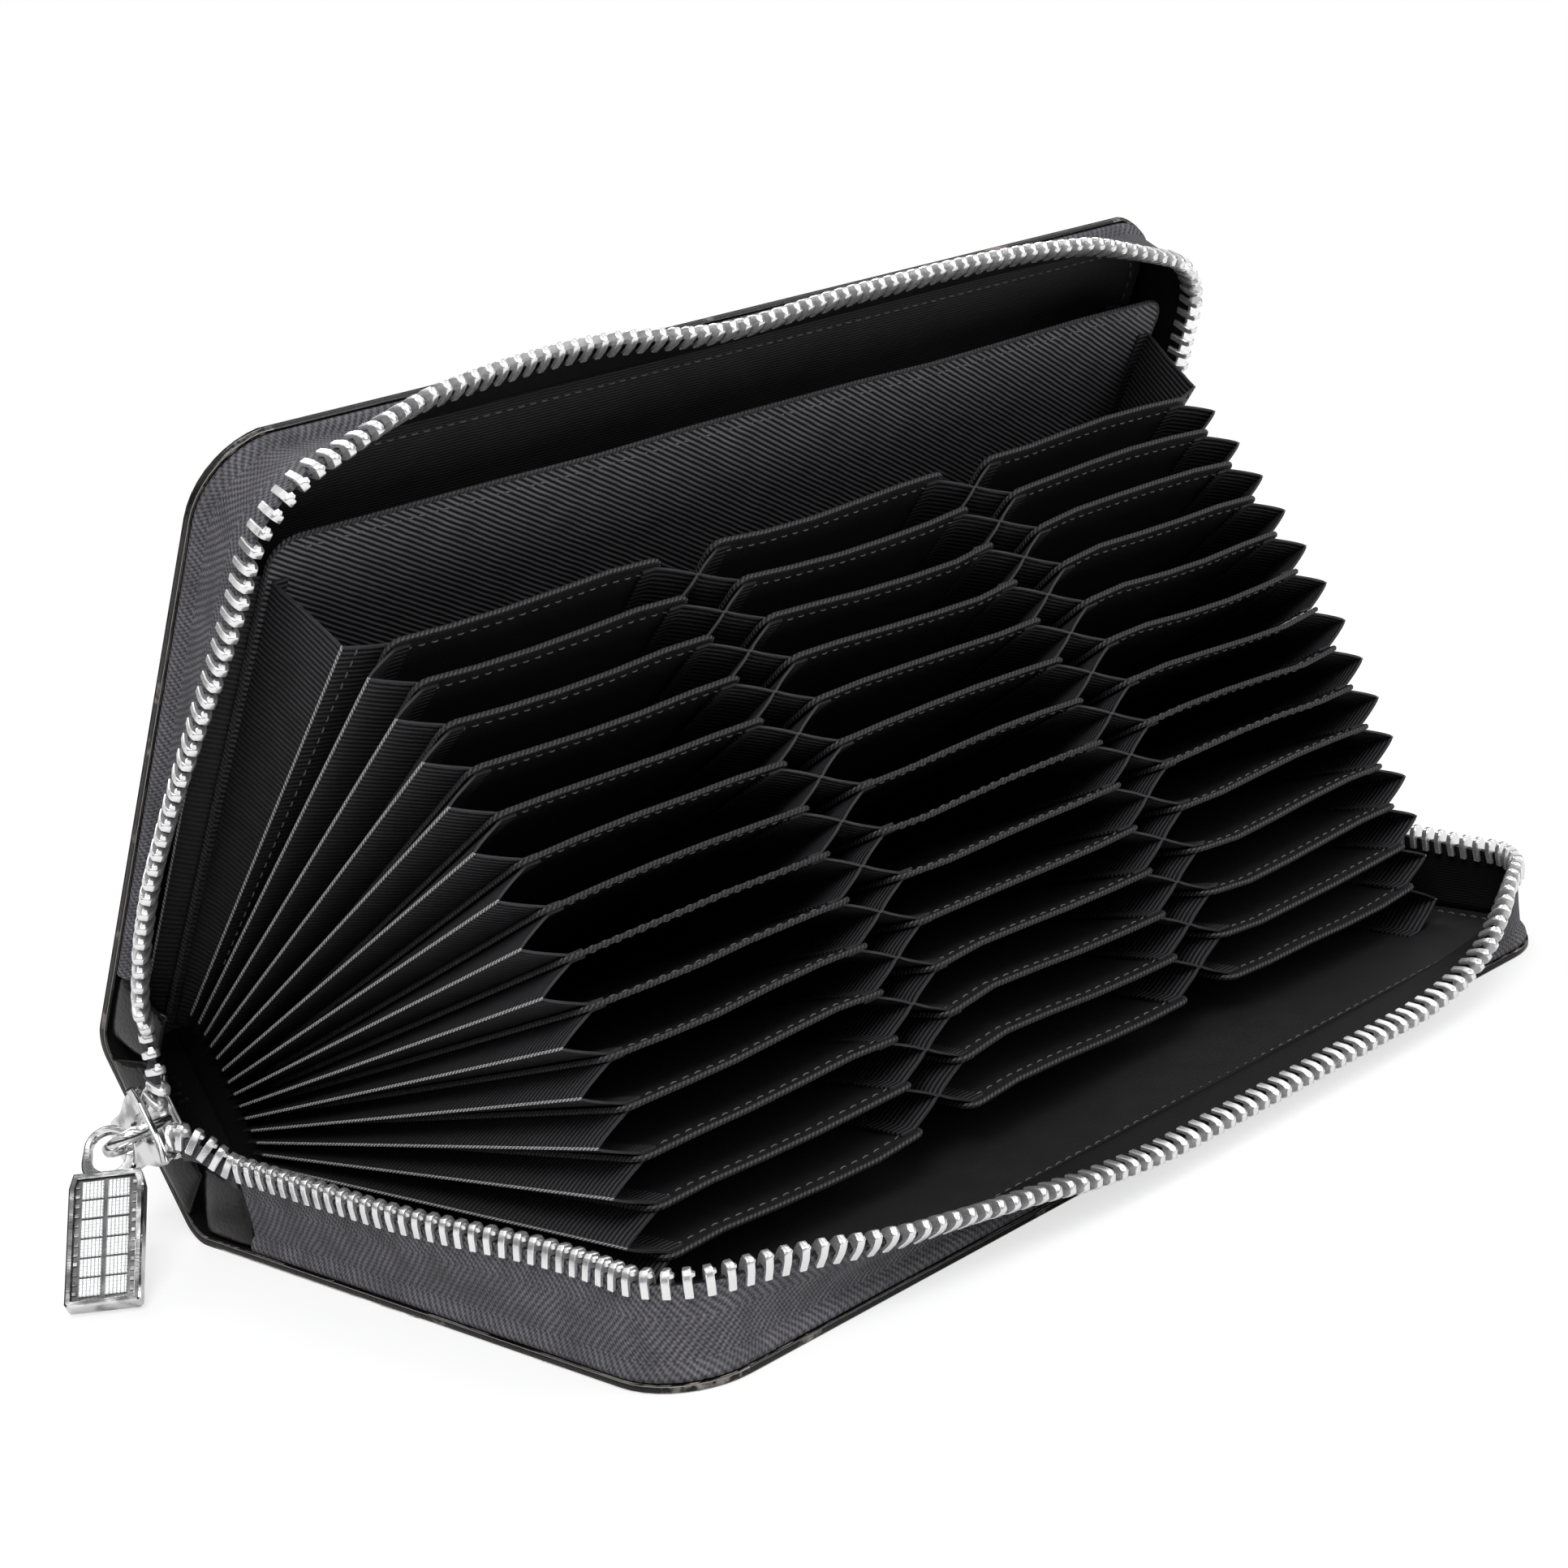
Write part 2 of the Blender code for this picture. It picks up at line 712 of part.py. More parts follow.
def column_gusset(left_x, right_x):
    """Two Vs back to back, sewn together at their creases."""
    middle = (left_x + right_x) / 2
    wall = FOLD_CREASE_WALL / 2
    left = [
        (left_x, 0, 0),
        (left_x, 0, 1),
        (middle - wall, 0.5, 0),
        (left_x, 1, -1),
        (left_x, 1, 0),
    ]
    right = [
        (right_x, 0, 0),
        (right_x, 0, 1),
        (middle + wall, 0.5, 0),
        (right_x, 1, -1),
        (right_x, 1, 0),
    ]
    return Island(left, right, [(middle, 0.5, -0.5)], [(middle, 0.5, 0.5)])


def phone_gusset(low_x, fold_x, high_x, direction):
    """A broad flap from the divider's edge to a fold close to the first leaf."""
    lap = PHONE_FOLD_LAP * direction
    fold = PHONE_FOLD_SHARE
    outer = [(low_x, 0, 0), (fold_x, fold, 0), (high_x + lap, 1, 0), (high_x, 1, 0)]
    inner = [
        (low_x, 0, 0),
        (low_x, 0, 1),
        (fold_x - lap / 2, fold, 1),
        (high_x, 1, -1),
        (high_x, 1, 0),
    ]
    if direction < 0:
        return Island(outer, inner, [], [])
    return Island(inner, outer, [], [])


def build_fold(name, islands, low_wall, high_wall, top):
    """A bottom strip with gussets that rise from it, between two walls that open upwards."""
    bm = bmesh.new()
    made = {}

    def vertex(point, distance):
        key = (point, distance)
        if key not in made:
            x, share, walls = point
            low = low_wall.at(distance)
            high = high_wall.at(distance)
            gap = (high - low).length
            fold = min(FOLD, gap * FOLD_BOTTOM_SHARE)
            place = low.lerp(high, share + walls * fold / gap)
            made[key] = bm.verts.new((x, place.x, place.y))
        return made[key]

    def face(points, distance):
        bm.faces.new([vertex(point, distance) for point in points])

    def sides(points, first, second):
        """Two triangles a side, split from hem to crease so that both faces of a wall match."""
        for a, b in zip(points, points[1:] + points[:1]):
            corners = [vertex(a, first), vertex(b, first), vertex(b, second), vertex(a, second)]
            if b[1] in (0, 1):
                corners = corners[1:] + corners[:1]
            bm.faces.new(corners[:3])
            bm.faces.new((corners[2], corners[3], corners[0]))

    strip_top = FOLD_BOTTOM + FOLD_STRIP
    strip = list(islands[0].left[::-1])
    for island in islands[1:-1]:
        strip += [island.left[0], *island.low, island.right[0]]
    strip += islands[-1].right
    for island in islands[-2:0:-1]:
        strip += [island.right[-1], *island.high, island.left[-1]]
    face(strip, FOLD_BOTTOM)
    sides(strip, FOLD_BOTTOM, strip_top)
    for first, second in zip(islands, islands[1:]):
        face(first.right + second.left[::-1], strip_top)
    for island in islands:
        ends = (island.left[0], island.left[-1])
        left = island.left
        right = [point for point in island.right if point not in ends]
        outline = left[::-1] + island.low + right + island.high
        middle = strip_top + (top - strip_top) * FOLD_MIDDLE_SHARE
        face(outline, top)
        sides(outline, strip_top, middle)
        sides(outline, middle, top)
    return finish_mesh(name, bm)


def build_card_folds(stand):
    hem_x = LEAF_END_INSET + FOLD_HEM
    left = end_gusset(hem_x, FOLD_CREASE_INSET, -1)
    right = end_gusset(COVER_LENGTH - hem_x, COVER_LENGTH - FOLD_CREASE_INSET, 1)
    edges = columns()
    middles = [
        column_gusset(first[1] - FOLD_HEM, second[0] + FOLD_HEM)
        for first, second in zip(edges, edges[1:])
    ]
    top = LEAF_LENGTH - FOLD_TOP_DROP
    for index in range(LEAF_COUNT - 1):
        name = "card_folds_%02d" % (index + 1)
        low_wall = leaf_wall(index + 1, 1)
        high_wall = leaf_wall(index, -1)
        mesh = build_fold(name, [left, *middles, right], low_wall, high_wall, top)
        stand.add(name, mesh, "grosgrain", stand.leaves[index])


def build_large_folds(stand, front_hinge):
    """The front pocket, and the phone and cash pockets on the two faces of the divider."""
    hem_x = LEAF_END_INSET + FOLD_HEM
    left = end_gusset(hem_x, FOLD_CREASE_INSET, -1)
    right = end_gusset(COVER_LENGTH - hem_x, COVER_LENGTH - FOLD_CREASE_INSET, 1)
    top = LEAF_LENGTH - FOLD_TOP_DROP
    low_wall = lining_wall(1, COVER_FOLD_START)
    mesh = build_fold("front_folds", [left, right], low_wall, leaf_wall(LEAF_COUNT - 1, -1), top)
    stand.add("front_folds", mesh, "grosgrain", front_hinge)
    divider_hem = DIVIDER_INSET + FOLD_HEM
    far_hem = COVER_LENGTH - divider_hem
    left = phone_gusset(hem_x, PHONE_FOLD_INSET, divider_hem, -1)
    right = phone_gusset(COVER_LENGTH - hem_x, COVER_LENGTH - PHONE_FOLD_INSET, far_hem, 1)
    mesh = build_fold("phone_folds", [left, right], leaf_wall(0, 1), divider_wall(-1), top)
    stand.add("phone_folds", mesh, "grosgrain", stand.divider)
    left = end_gusset(divider_hem, CASH_CREASE_INSET, -1)
    right = end_gusset(far_hem, COVER_LENGTH - CASH_CREASE_INSET, 1)
    top = DIVIDER_LENGTH - FOLD_TOP_DROP
    rear_wall = lining_wall(-1, COVER_FOLD_START)
    mesh = build_fold("cash_folds", [left, right], divider_wall(1), rear_wall, top)
    stand.add("cash_folds", mesh, "grosgrain", stand.divider)


# Slider, chain end and pull


def chain_inner(side):
    """Half the width that one row of teeth fills beside the chain's middle."""
    return side + TOOTH_LENGTH / 2 + SLIDER_PLAY


def wedge_notch(top):
    """The post between the two rows, from the mouth down to its tip."""
    tip = SLIDER_TOP - WEDGE_LENGTH
    shoulder = SLIDER_TOP - WEDGE_LENGTH / 2
    return [
        (-WEDGE_HALF_WIDTH, top),
        (-WEDGE_HALF_WIDTH, shoulder),
        (0, tip),
        (WEDGE_HALF_WIDTH, shoulder),
        (WEDGE_HALF_WIDTH, top),
    ]


def slider_sides(half_tail, half_mouth, bottom, top):
    narrow = SLIDER_TAIL + SLIDER_LENGTH * NARROW_SHARE
    shoulder = SLIDER_TAIL + SLIDER_LENGTH * SHOULDER_SHARE
    right = [
        (half_tail, bottom),
        (half_tail, narrow),
        (half_mouth, shoulder),
        (half_mouth, top),
    ]
    left = [(-y, z) for y, z in right[::-1]]
    return right, left


def build_slider(stand):
    tail = chain_inner(CHAIN_OFFSET)
    mouth = chain_inner(MOUTH_OFFSET)
    right, left = slider_sides(tail + SLIDER_RAIL, mouth + SLIDER_RAIL, SLIDER_TAIL, SLIDER_TOP)

    def part(name, outline, thickness, material=None):
        low = SLIDER_X - thickness / 2
        mesh = prism_mesh(name, outline, low, low + thickness, lambda y, z, x: (x, y, z))
        return stand.add(name, mesh, material)

    slider = part("slider", right + left, SLIDER_THICKNESS, "metal")
    add_bevel(slider, SLIDER_EDGE)
    below = SLIDER_TAIL - OVERRUN
    above = SLIDER_TOP + OVERRUN
    right, left = slider_sides(tail, mouth, below, above)
    channel = right + wedge_notch(above)[::-1] + left
    cut(slider, part("slider_channel", channel, TOOTH_THICKNESS + 2 * SLIDER_PLAY))
    wide = mouth + SLIDER_RAIL + OVERRUN
    slot = [(wide, below), (wide, above), *wedge_notch(above)[::-1], (-wide, above), (-wide, below)]
    cut(slider, part("slider_slot", slot, SLIDER_SLOT))
    cut(slider, build_arch(stand), "UNION")


def arch_centre():
    face = SLIDER_X - SLIDER_THICKNESS / 2
    return face, SLIDER_TAIL + SLIDER_LENGTH * ARCH_PLACE_SHARE


def build_arch(stand):
    """The bridge that carries the pull, on the slider's outer face."""
    face, middle = arch_centre()
    root = face + SLIDER_PLATE / 2
    outer, inner = [], []
    for i in range(ARCH_STEPS + 1):
        angle = pi * i / ARCH_STEPS
        outer.append((face - ARCH_HEIGHT * sin(angle), middle + ARCH_HALF_LENGTH * cos(angle)))
        inner.append((
            face - (ARCH_HEIGHT - ARCH_BAR) * sin(angle),
            middle + (ARCH_HALF_LENGTH - ARCH_BAR) * cos(angle),
        ))
    outline = [(root, outer[0][1]), *outer, (root, outer[-1][1])]
    outline += [(root, inner[-1][1]), *inner[::-1], (root, inner[0][1])]
    mesh = prism_mesh(
        "slider_arch",
        outline,
        -ARCH_WIDTH / 2,
        ARCH_WIDTH / 2,
        lambda x, z, y: (x, y, z),
    )
    return stand.add("slider_arch", mesh, None)


def zip_end_line(half):
    """The row's way from the bottom stop through the slider to the start of the cover's row."""
    side = -half.inward
    low = Vector((SLIDER_X, side * CHAIN_OFFSET, SLIDER_TAIL))
    neck = Vector((SLIDER_X, side * CHAIN_OFFSET, SLIDER_TAIL + SLIDER_LENGTH * NARROW_SHARE))
    mouth = Vector((SLIDER_X, side * MOUTH_OFFSET, SLIDER_TOP - WEDGE_LENGTH / 2))
    top = Vector((SLIDER_X, side * MOUTH_OFFSET, SLIDER_TOP + CHAIN_LEAD))
    turned = Matrix.Rotation(half.angle, 4, "X")
    hinge = Vector((0, side * HINGE_SPACING / 2, 0))
    start, up = row_place(half, 0)
    end = hinge + turned @ start
    away = turned @ Vector((0, 0, 1))
    before = end - away * (end - top).length / 3
    points = [low, neck, mouth, top]
    ups = [Vector((0, -side, 0))] * 4
    for i in range(1, ARCH_STEPS + 1):
        part = i / ARCH_STEPS
        first = top.lerp(before, part)
        second = before.lerp(end, part)
        points.append(first.lerp(second, part))
        ups.append(Vector((0, -side, 0)).lerp(turned @ up, part))
    return list(zip(points, ups))


def build_zip_end(half, stand):
    line = zip_end_line(half)
    places = walk(line, TOOTH_PITCH)
    if half.inward < 0:
        first = line[0][0]
        shifted = [(first + Vector((0, 0, TOOTH_PITCH / 2)), line[0][1]), *line[1:]]
        places = walk(shifted, TOOTH_PITCH)
    name = half.name + "_zip_end"
    square_groove = (TOOTH_WIDTH / 2, TOOTH_PITCH - TOOTH_WIDTH / 2)
    stand.add(name, loft_mesh(name, tooth_rings(places, square_groove)), "metal")


def build_bottom_stop(stand):
    top = SLIDER_TAIL - CLEARANCE
    half_depth = BOTTOM_STOP_THICKNESS / 2
    outline = (
        (-BOTTOM_STOP_HALF_WIDTH, top - BOTTOM_STOP_HEIGHT),
        (BOTTOM_STOP_HALF_WIDTH, top - BOTTOM_STOP_HEIGHT),
        (BOTTOM_STOP_HALF_WIDTH, top),
        (-BOTTOM_STOP_HALF_WIDTH, top),
    )
    mesh = prism_mesh(
        "bottom_stop",
        outline,
        SLIDER_X - half_depth,
        SLIDER_X + half_depth,
        lambda y, z, x: (x, y, z),
    )
    add_bevel(stand.add("bottom_stop", mesh, "metal"), CLEARANCE, 1)


def pull_outline():
    """Half widths down the pull: round and narrow at the eye, square at the free end."""
    bottom = PULL_TOP - PULL_LENGTH
    taper = PULL_TOP - PULL_TAPER
    corner = PULL_CORNER
    right = arc_points((0, 0), PULL_TOP, pi / 2, 0, 2 * ARC_STEPS // 3)[1:]
    right += [
        (PULL_WIDTH / 2, taper),
        (PULL_WIDTH / 2, bottom + corner),
        (PULL_WIDTH / 2 - corner, bottom),
    ]
    return [(0, PULL_TOP), *right, *[(-x, z) for x, z in right[::-1]]]


def build_pull(stand):
    """The pull hangs by its eye on the slider's bridge and slopes down to the table."""
    face, middle = arch_centre()
    place = Vector((face - ARCH_HEIGHT + ARCH_BAR / 2, 0, middle))
    slope, turn = PULL_SLOPE, PULL_TURN
    down = Vector((-cos(slope) * cos(turn), -cos(slope) * sin(turn), -sin(slope)))
    axis = Vector((-sin(turn), cos(turn), 0))
    hinge = add_empty("pull_hinge", (0, 0, 0), 0)
    columns_of_turn = (axis, (-down).cross(axis), -down)
    turned = Matrix(columns_of_turn).transposed().to_4x4()
    slack = EYE_SLACK * Vector((1, 1, -1))
    eye_centre = stand.frame.matrix_world @ place + slack
    hinge.matrix_world = Matrix.Translation(eye_centre) @ turned

    def part(name, outline, low, high, material=None):
        mesh = prism_mesh(name, outline, low, high, lambda x, z, y: (x, y, z))
        return add_object(name, mesh, material, hinge)

    half = PULL_THICKNESS / 2
    pull = part("pull_tab", pull_outline(), -half, half, "metal")
    add_bevel(pull, PULL_EDGE)
    eye = arc_points((0, 0), EYE_WIDTH / 2, 0, pi, ARC_STEPS)
    eye += arc_points((0, EYE_WIDTH - EYE_LENGTH), EYE_WIDTH / 2, pi, 2 * pi, ARC_STEPS)
    cut(pull, part("pull_eye", eye, -half - OVERRUN, half + OVERRUN))
    step_z = EYE_WIDTH / 2 - EYE_LENGTH
    wide = PULL_WIDTH
    above = PULL_TOP + OVERRUN
    step = ((-wide, step_z), (wide, step_z), (wide, above), (-wide, above))
    cut(pull, part("pull_step_front", step, EYE_THICKNESS / 2, half + OVERRUN))
    cut(pull, part("pull_step_back", step, -half - OVERRUN, -EYE_THICKNESS / 2))
    face_top = PULL_TOP - PULL_TAPER
    face_bottom = PULL_TOP - PULL_LENGTH + RIM_WIDTH
    low = half - GROOVE_DEPTH
    row = (face_top - face_bottom) / GROOVE_ROWS
    side = PULL_WIDTH / 2 - RIM_WIDTH
    grooves = [("pull_groove_centre", -GROOVE_WIDTH / 2, GROOVE_WIDTH / 2, face_bottom, face_top)]
    for i in range(1, GROOVE_ROWS):
        z = face_bottom + row * i
        grooves.append(("pull_groove_%d" % i, -side, side, z, z + GROOVE_WIDTH))
    for name, x0, x1, z0, z1 in grooves:
        outline = ((x0, z0), (x1, z0), (x1, z1), (x0, z1))
        cut(pull, part(name, outline, low, half + OVERRUN))


class Half:
    """One cover with all that is fixed to it. Its pieces are drawn as if it stood upright."""

    def __init__(self, name, inward, lean_shares, frame):
        self.name = name
        self.inward = inward
        self.lean_shares = lean_shares
        self.angle = inward * OPEN_ANGLE
        place = (0, -inward * HINGE_SPACING / 2, 0)
        self.hinge = add_empty(name + "_cover_hinge", place, self.angle, frame)


class Stand:
    """The empties that pieces hang on: the tilted wallet and the hinge lines inside it."""

    def __init__(self):
        lift = LEATHER / 2 + HINGE_SPACING / 2 * sin(TILT)
        back = COVER_HEIGHT / 2 + HINGE_SPACING / 2 * cos(TILT)
        self.frame = add_empty("wallet_frame", (-COVER_LENGTH / 2, back, lift), TILT)
        self.spine = add_empty("spine_hinge", (0, -HINGE_SPACING / 2, 0), 0, self.frame)
        place = (0, DIVIDER_OFFSET, POCKET_AXIS_HEIGHT)
        self.divider = add_empty("divider_hinge", place, -DIVIDER_ANGLE, self.frame)
        self.leaves = []
        for index in range(LEAF_COUNT):
            place = (0, leaf_offset(index), POCKET_AXIS_HEIGHT)
            name = "leaf_%02d_hinge" % (index + 1)
            self.leaves.append(add_empty(name, place, -leaf_angle(index), self.frame))

    def add(self, name, mesh, material, hinge=None):
        """A piece that is drawn in the wallet's own axes and hangs on a hinge line."""
        return add_object(name, mesh, material, hinge or self.spine, self.frame)


def build_wallet():
    stand = Stand()
    front = Half("front", 1, FRONT_LEAN_SHARES, stand.frame)
    rear = Half("rear", -1, REAR_LEAN_SHARES, stand.frame)
    for half in (front, rear):
        build_cover(half)
        build_tape(half)
        build_teeth(half)
        build_wraps(half)
        build_zip_end(half, stand)
    build_spine(stand)
    build_spine_ends(stand)
    build_pocket_base(stand)
    build_divider(stand)
    build_leaves(stand)
    build_card_folds(stand)
    build_large_folds(stand, front.hinge)
    build_slider(stand)
    build_bottom_stop(stand)
    build_pull(stand)
    bpy.context.view_layer.update()


clear_scene()
MATERIALS = make_materials()
build_wallet()
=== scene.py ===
# %% [markdown]
# # A travel document wallet, half open
#
# The wallet lies on its front cover with the zipper undone. One slider holds the two zipper
# halves together at the left end of the spine, and fourteen pocket panels fan out between the
# covers. This script dresses the packed CAD model of it: leather, woven tape, metal teeth and
# ribbed pocket cloth. Every size is in metres, in the same frame as the CAD.

# %% Load the packed model
import json
from math import cos, pi, radians, sin, sqrt

import bmesh
import bpy
from mathutils import Matrix, Vector, noise


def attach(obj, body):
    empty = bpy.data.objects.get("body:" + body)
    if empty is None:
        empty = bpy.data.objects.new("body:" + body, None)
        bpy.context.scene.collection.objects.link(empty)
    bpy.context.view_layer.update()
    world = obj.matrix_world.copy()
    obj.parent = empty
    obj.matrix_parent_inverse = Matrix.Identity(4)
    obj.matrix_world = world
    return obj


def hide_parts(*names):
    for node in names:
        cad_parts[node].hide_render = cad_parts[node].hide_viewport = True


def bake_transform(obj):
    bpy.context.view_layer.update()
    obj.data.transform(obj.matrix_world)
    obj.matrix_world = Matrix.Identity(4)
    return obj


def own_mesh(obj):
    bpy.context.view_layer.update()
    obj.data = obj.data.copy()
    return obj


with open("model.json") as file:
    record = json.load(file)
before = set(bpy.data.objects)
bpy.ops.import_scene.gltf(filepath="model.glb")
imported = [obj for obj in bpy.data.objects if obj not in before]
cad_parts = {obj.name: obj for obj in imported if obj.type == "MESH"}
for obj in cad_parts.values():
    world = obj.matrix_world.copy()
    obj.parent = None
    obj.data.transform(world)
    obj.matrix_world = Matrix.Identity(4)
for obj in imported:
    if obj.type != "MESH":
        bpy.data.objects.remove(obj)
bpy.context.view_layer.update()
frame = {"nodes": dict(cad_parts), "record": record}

MM = 0.001

# %% [markdown]
# ## Where things are
#
# It is easiest to draw a wallet standing up, with the spine along X and the mouth at the top,
# and to tilt it afterwards. Each cover is drawn upright as well, then turned about its hinge
# line. So there are three places to draw in: a cover, the upright wallet and the world.

# %% Main sizes
COVER_LENGTH = 202 * MM
COVER_HEIGHT = 106 * MM
COVER_CORNER = 12 * MM
HINGE_SPACING = 33 * MM
OPEN_ANGLE = radians(30.5)
LEATHER = 1.2 * MM
CLEARANCE = 0.3 * MM
INNER_FACE = LEATHER / 2 + CLEARANCE
BOARD = 0.9 * MM
LINING = 0.5 * MM
LINING_FACE = INNER_FACE + BOARD + CLEARANCE
LINING_TOP = LINING_FACE + LINING

# %% The three drawing places
TILT = pi / 2 - OPEN_ANGLE
SPINE_LIFT = LEATHER / 2 + HINGE_SPACING / 2 * sin(TILT)
SPINE_BACK = COVER_HEIGHT / 2 + HINGE_SPACING / 2 * cos(TILT)
WALLET = Matrix.Translation((-COVER_LENGTH / 2, SPINE_BACK, SPINE_LIFT))
WALLET = WALLET @ Matrix.Rotation(TILT, 4, "X")


class Half:
    """One cover. Its depth runs inwards, so the front's depth is +Y and the rear's is -Y."""

    def __init__(self, name, inward):
        self.name = name
        self.body = name + "_cover"
        self.inward = inward
        place = Matrix.Translation((0, -inward * HINGE_SPACING / 2, 0))
        self.upright = place @ Matrix.Rotation(inward * OPEN_ANGLE, 4, "X")
        self.world = WALLET @ self.upright

    def at(self, x, depth, height):
        return self.world @ Vector((x, self.inward * depth, height))


FRONT, REAR = Half("front", 1), Half("rear", -1)
print("front cover's far corner:", FRONT.at(COVER_LENGTH, 0, COVER_HEIGHT))

# %% [markdown]
# ## Camera, floor and light
#
# The camera stands where the photographer stood: low, in front of the left end. A long lens
# keeps the covers' sides nearly parallel. The floor is pale and shows white to the camera,
# with part of its own shading left in, so that the wallet still casts a soft shadow. Metal
# mirrors a world of its own: a dark one, with pale strips across its ceiling.

# %% Camera
CAMERA_AT = Vector((-351.52, -350.54, 185.89)) * MM
AIM = Vector((-20.25, 0.14, 54.41)) * MM
CAMERA_ROLL = radians(-6.984)
SENSOR_WIDTH = 36
FOCAL_LENGTH = 76.86
NEAREST = 0.01
FARTHEST = 100

scene = bpy.context.scene
camera_data = bpy.data.cameras.new("camera")
camera_data.sensor_width = SENSOR_WIDTH
camera_data.lens = FOCAL_LENGTH
camera_data.clip_start = NEAREST
camera_data.clip_end = FARTHEST
camera = bpy.data.objects.new("camera", camera_data)
scene.collection.objects.link(camera)
level = (AIM - CAMERA_AT).to_track_quat("-Z", "Y").to_matrix().to_4x4()
camera.matrix_world = Matrix.Translation(CAMERA_AT) @ level @ Matrix.Rotation(CAMERA_ROLL, 4, "Z")
scene.camera = camera
scene.view_settings.view_transform = "Standard"
print("camera is", round((CAMERA_AT - AIM).length, 3), "m from what it looks at")

# %% [markdown]
# ## Writing materials as sums
#
# A material is a graph of nodes, but most of what it works out is plain arithmetic: stripes
# are the sine of a distance, wear is one mask times another. The small class Paint wraps the
# output of a node, so that such sums can be written as Python expressions. Graph adds nodes to
# any tree, and Finish is the graph of one material.

# %% Shader arithmetic


class Paint:
    """One output of a node. Sums on it add Math nodes to the same tree."""

    def __init__(self, graph, socket):
        self.graph = graph
        self.socket = socket

    def other(self, output):
        """Another output of the same node."""
        return Paint(self.graph, self.socket.node.outputs[output])

    def math(self, operation, *others):
        return self.graph.add("ShaderNodeMath", {"operation": operation}, [self, *others])

    def __add__(self, other):
        return self.math("ADD", other)

    __radd__ = __add__

    def __mul__(self, other):
        return self.math("MULTIPLY", other)

    __rmul__ = __mul__

    def __sub__(self, other):
        return self.math("SUBTRACT", other)

    def __rsub__(self, other):
        return self * -1 + other

    def __truediv__(self, other):
        return self.math("DIVIDE", other)

    def __pow__(self, other):
        return self.math("POWER", other)

    def __mod__(self, other):
        return self.math("FLOORED_MODULO", other)

    def sine(self):
        return self.math("SINE")

    def size(self):
        return self.math("ABSOLUTE")

    def clamp(self):
        return self.math("MINIMUM", 1).math("MAXIMUM", 0)

    def wave(self, pitch):
        """0 to 1 and back once in every pitch."""
        return (self * (2 * pi / pitch)).sine() * 0.5 + 0.5


methods = [name for name in vars(Paint) if callable(getattr(Paint, name))]
print("Paint has", len(methods), "methods")

# %% Graphs and materials


class Graph:
    """A tree of nodes under construction."""

    def __init__(self, tree):
        self.tree = tree

    def add(self, kind, settings, inputs, output=0):
        """Adds a node with its settings and the values or links of its sockets."""
        node = self.tree.nodes.new(kind)
        for key, value in settings.items():
            setattr(node, key, value)
        pairs = inputs.items() if isinstance(inputs, dict) else enumerate(inputs)
        for key, value in pairs:
            self.connect(node.inputs[key], value)
        return Paint(self, node.outputs[output])

    def connect(self, socket, value):
        if isinstance(value, Paint):
            self.tree.links.new(value.socket, socket)
        else:
            socket.default_value = value

    def ray(self, kind):
        """1 for rays of this kind, and 0 for all others."""
        return self.add("ShaderNodeLightPath", {}, {}, kind)

    def mix_shaders(self, factor, first, second):
        return self.add("ShaderNodeMixShader", {}, {0: factor, 1: first, 2: second})


class Finish(Graph):
    """A material under construction, round one Principled shader."""

    def __init__(self, name, roughness, metallic=0.0, specular=0.5):
        self.material = bpy.data.materials.new(name)
        self.material.use_nodes = True
        super().__init__(self.material.node_tree)
        self.shader = self.tree.nodes["Principled BSDF"]
        self.set("Roughness", roughness)
        self.set("Metallic", metallic)
        self.set("Specular IOR Level", specular)

    def set(self, socket, value):
        self.connect(self.shader.inputs[socket], value)

    def mix(self, factor, first, second):
        """From the first colour at 0 to the second at 1."""
        settings = {"data_type": "RGBA"}
        return self.add("ShaderNodeMix", settings, {0: factor, 6: first, 7: second}, 2)

    def noise(self, vector, scale, detail=2.0, roughness=0.5):
        inputs = {"Vector": vector, "Scale": scale, "Detail": detail, "Roughness": roughness}
        return self.add("ShaderNodeTexNoise", {}, inputs)

    def place(self):
        return self.add("ShaderNodeTexCoord", {}, {}, "Object")

    def cloth_place(self):
        """The piece's own map: millimetres along the cloth and across it."""
        uv = self.add("ShaderNodeTexCoord", {}, {}, "UV")
        along = self.add("ShaderNodeSeparateXYZ", {}, [uv], "X")
        return uv, along, along.other("Y")

    def attribute(self, name):
        return self.add("ShaderNodeAttribute", {"attribute_name": name}, {}, "Fac")

    def bump(self, height, strength, distance):
        inputs = {"Strength": strength, "Distance": distance, "Height": height}
        self.set("Normal", self.add("ShaderNodeBump", {}, inputs))


def grey(value, warm=0.0):
    """A near-neutral colour; warm adds a little red and takes a little blue."""
    return (value * (1 + warm), value, value * (1 - warm), 1)


print("a warm grey:", grey(0.5, warm=0.1))

# %% Floor
FLOOR_REACH = 30
FLOOR_SHADE = 0.88
FLOOR_IN_METAL = 0.55
PLAIN_WHITE_NEAR = 0.68
FADE_START = 0.22
FADE_LENGTH = 0.3

corners = [(-1, -1, 0), (1, -1, 0), (1, 1, 0), (-1, 1, 0)]
floor_mesh = bpy.data.meshes.new("floor")
floor_mesh.from_pydata([Vector(c) * FLOOR_REACH for c in corners], [], [(0, 1, 2, 3)])
floor_piece = bpy.data.objects.new("floor", floor_mesh)
scene.collection.objects.link(floor_piece)

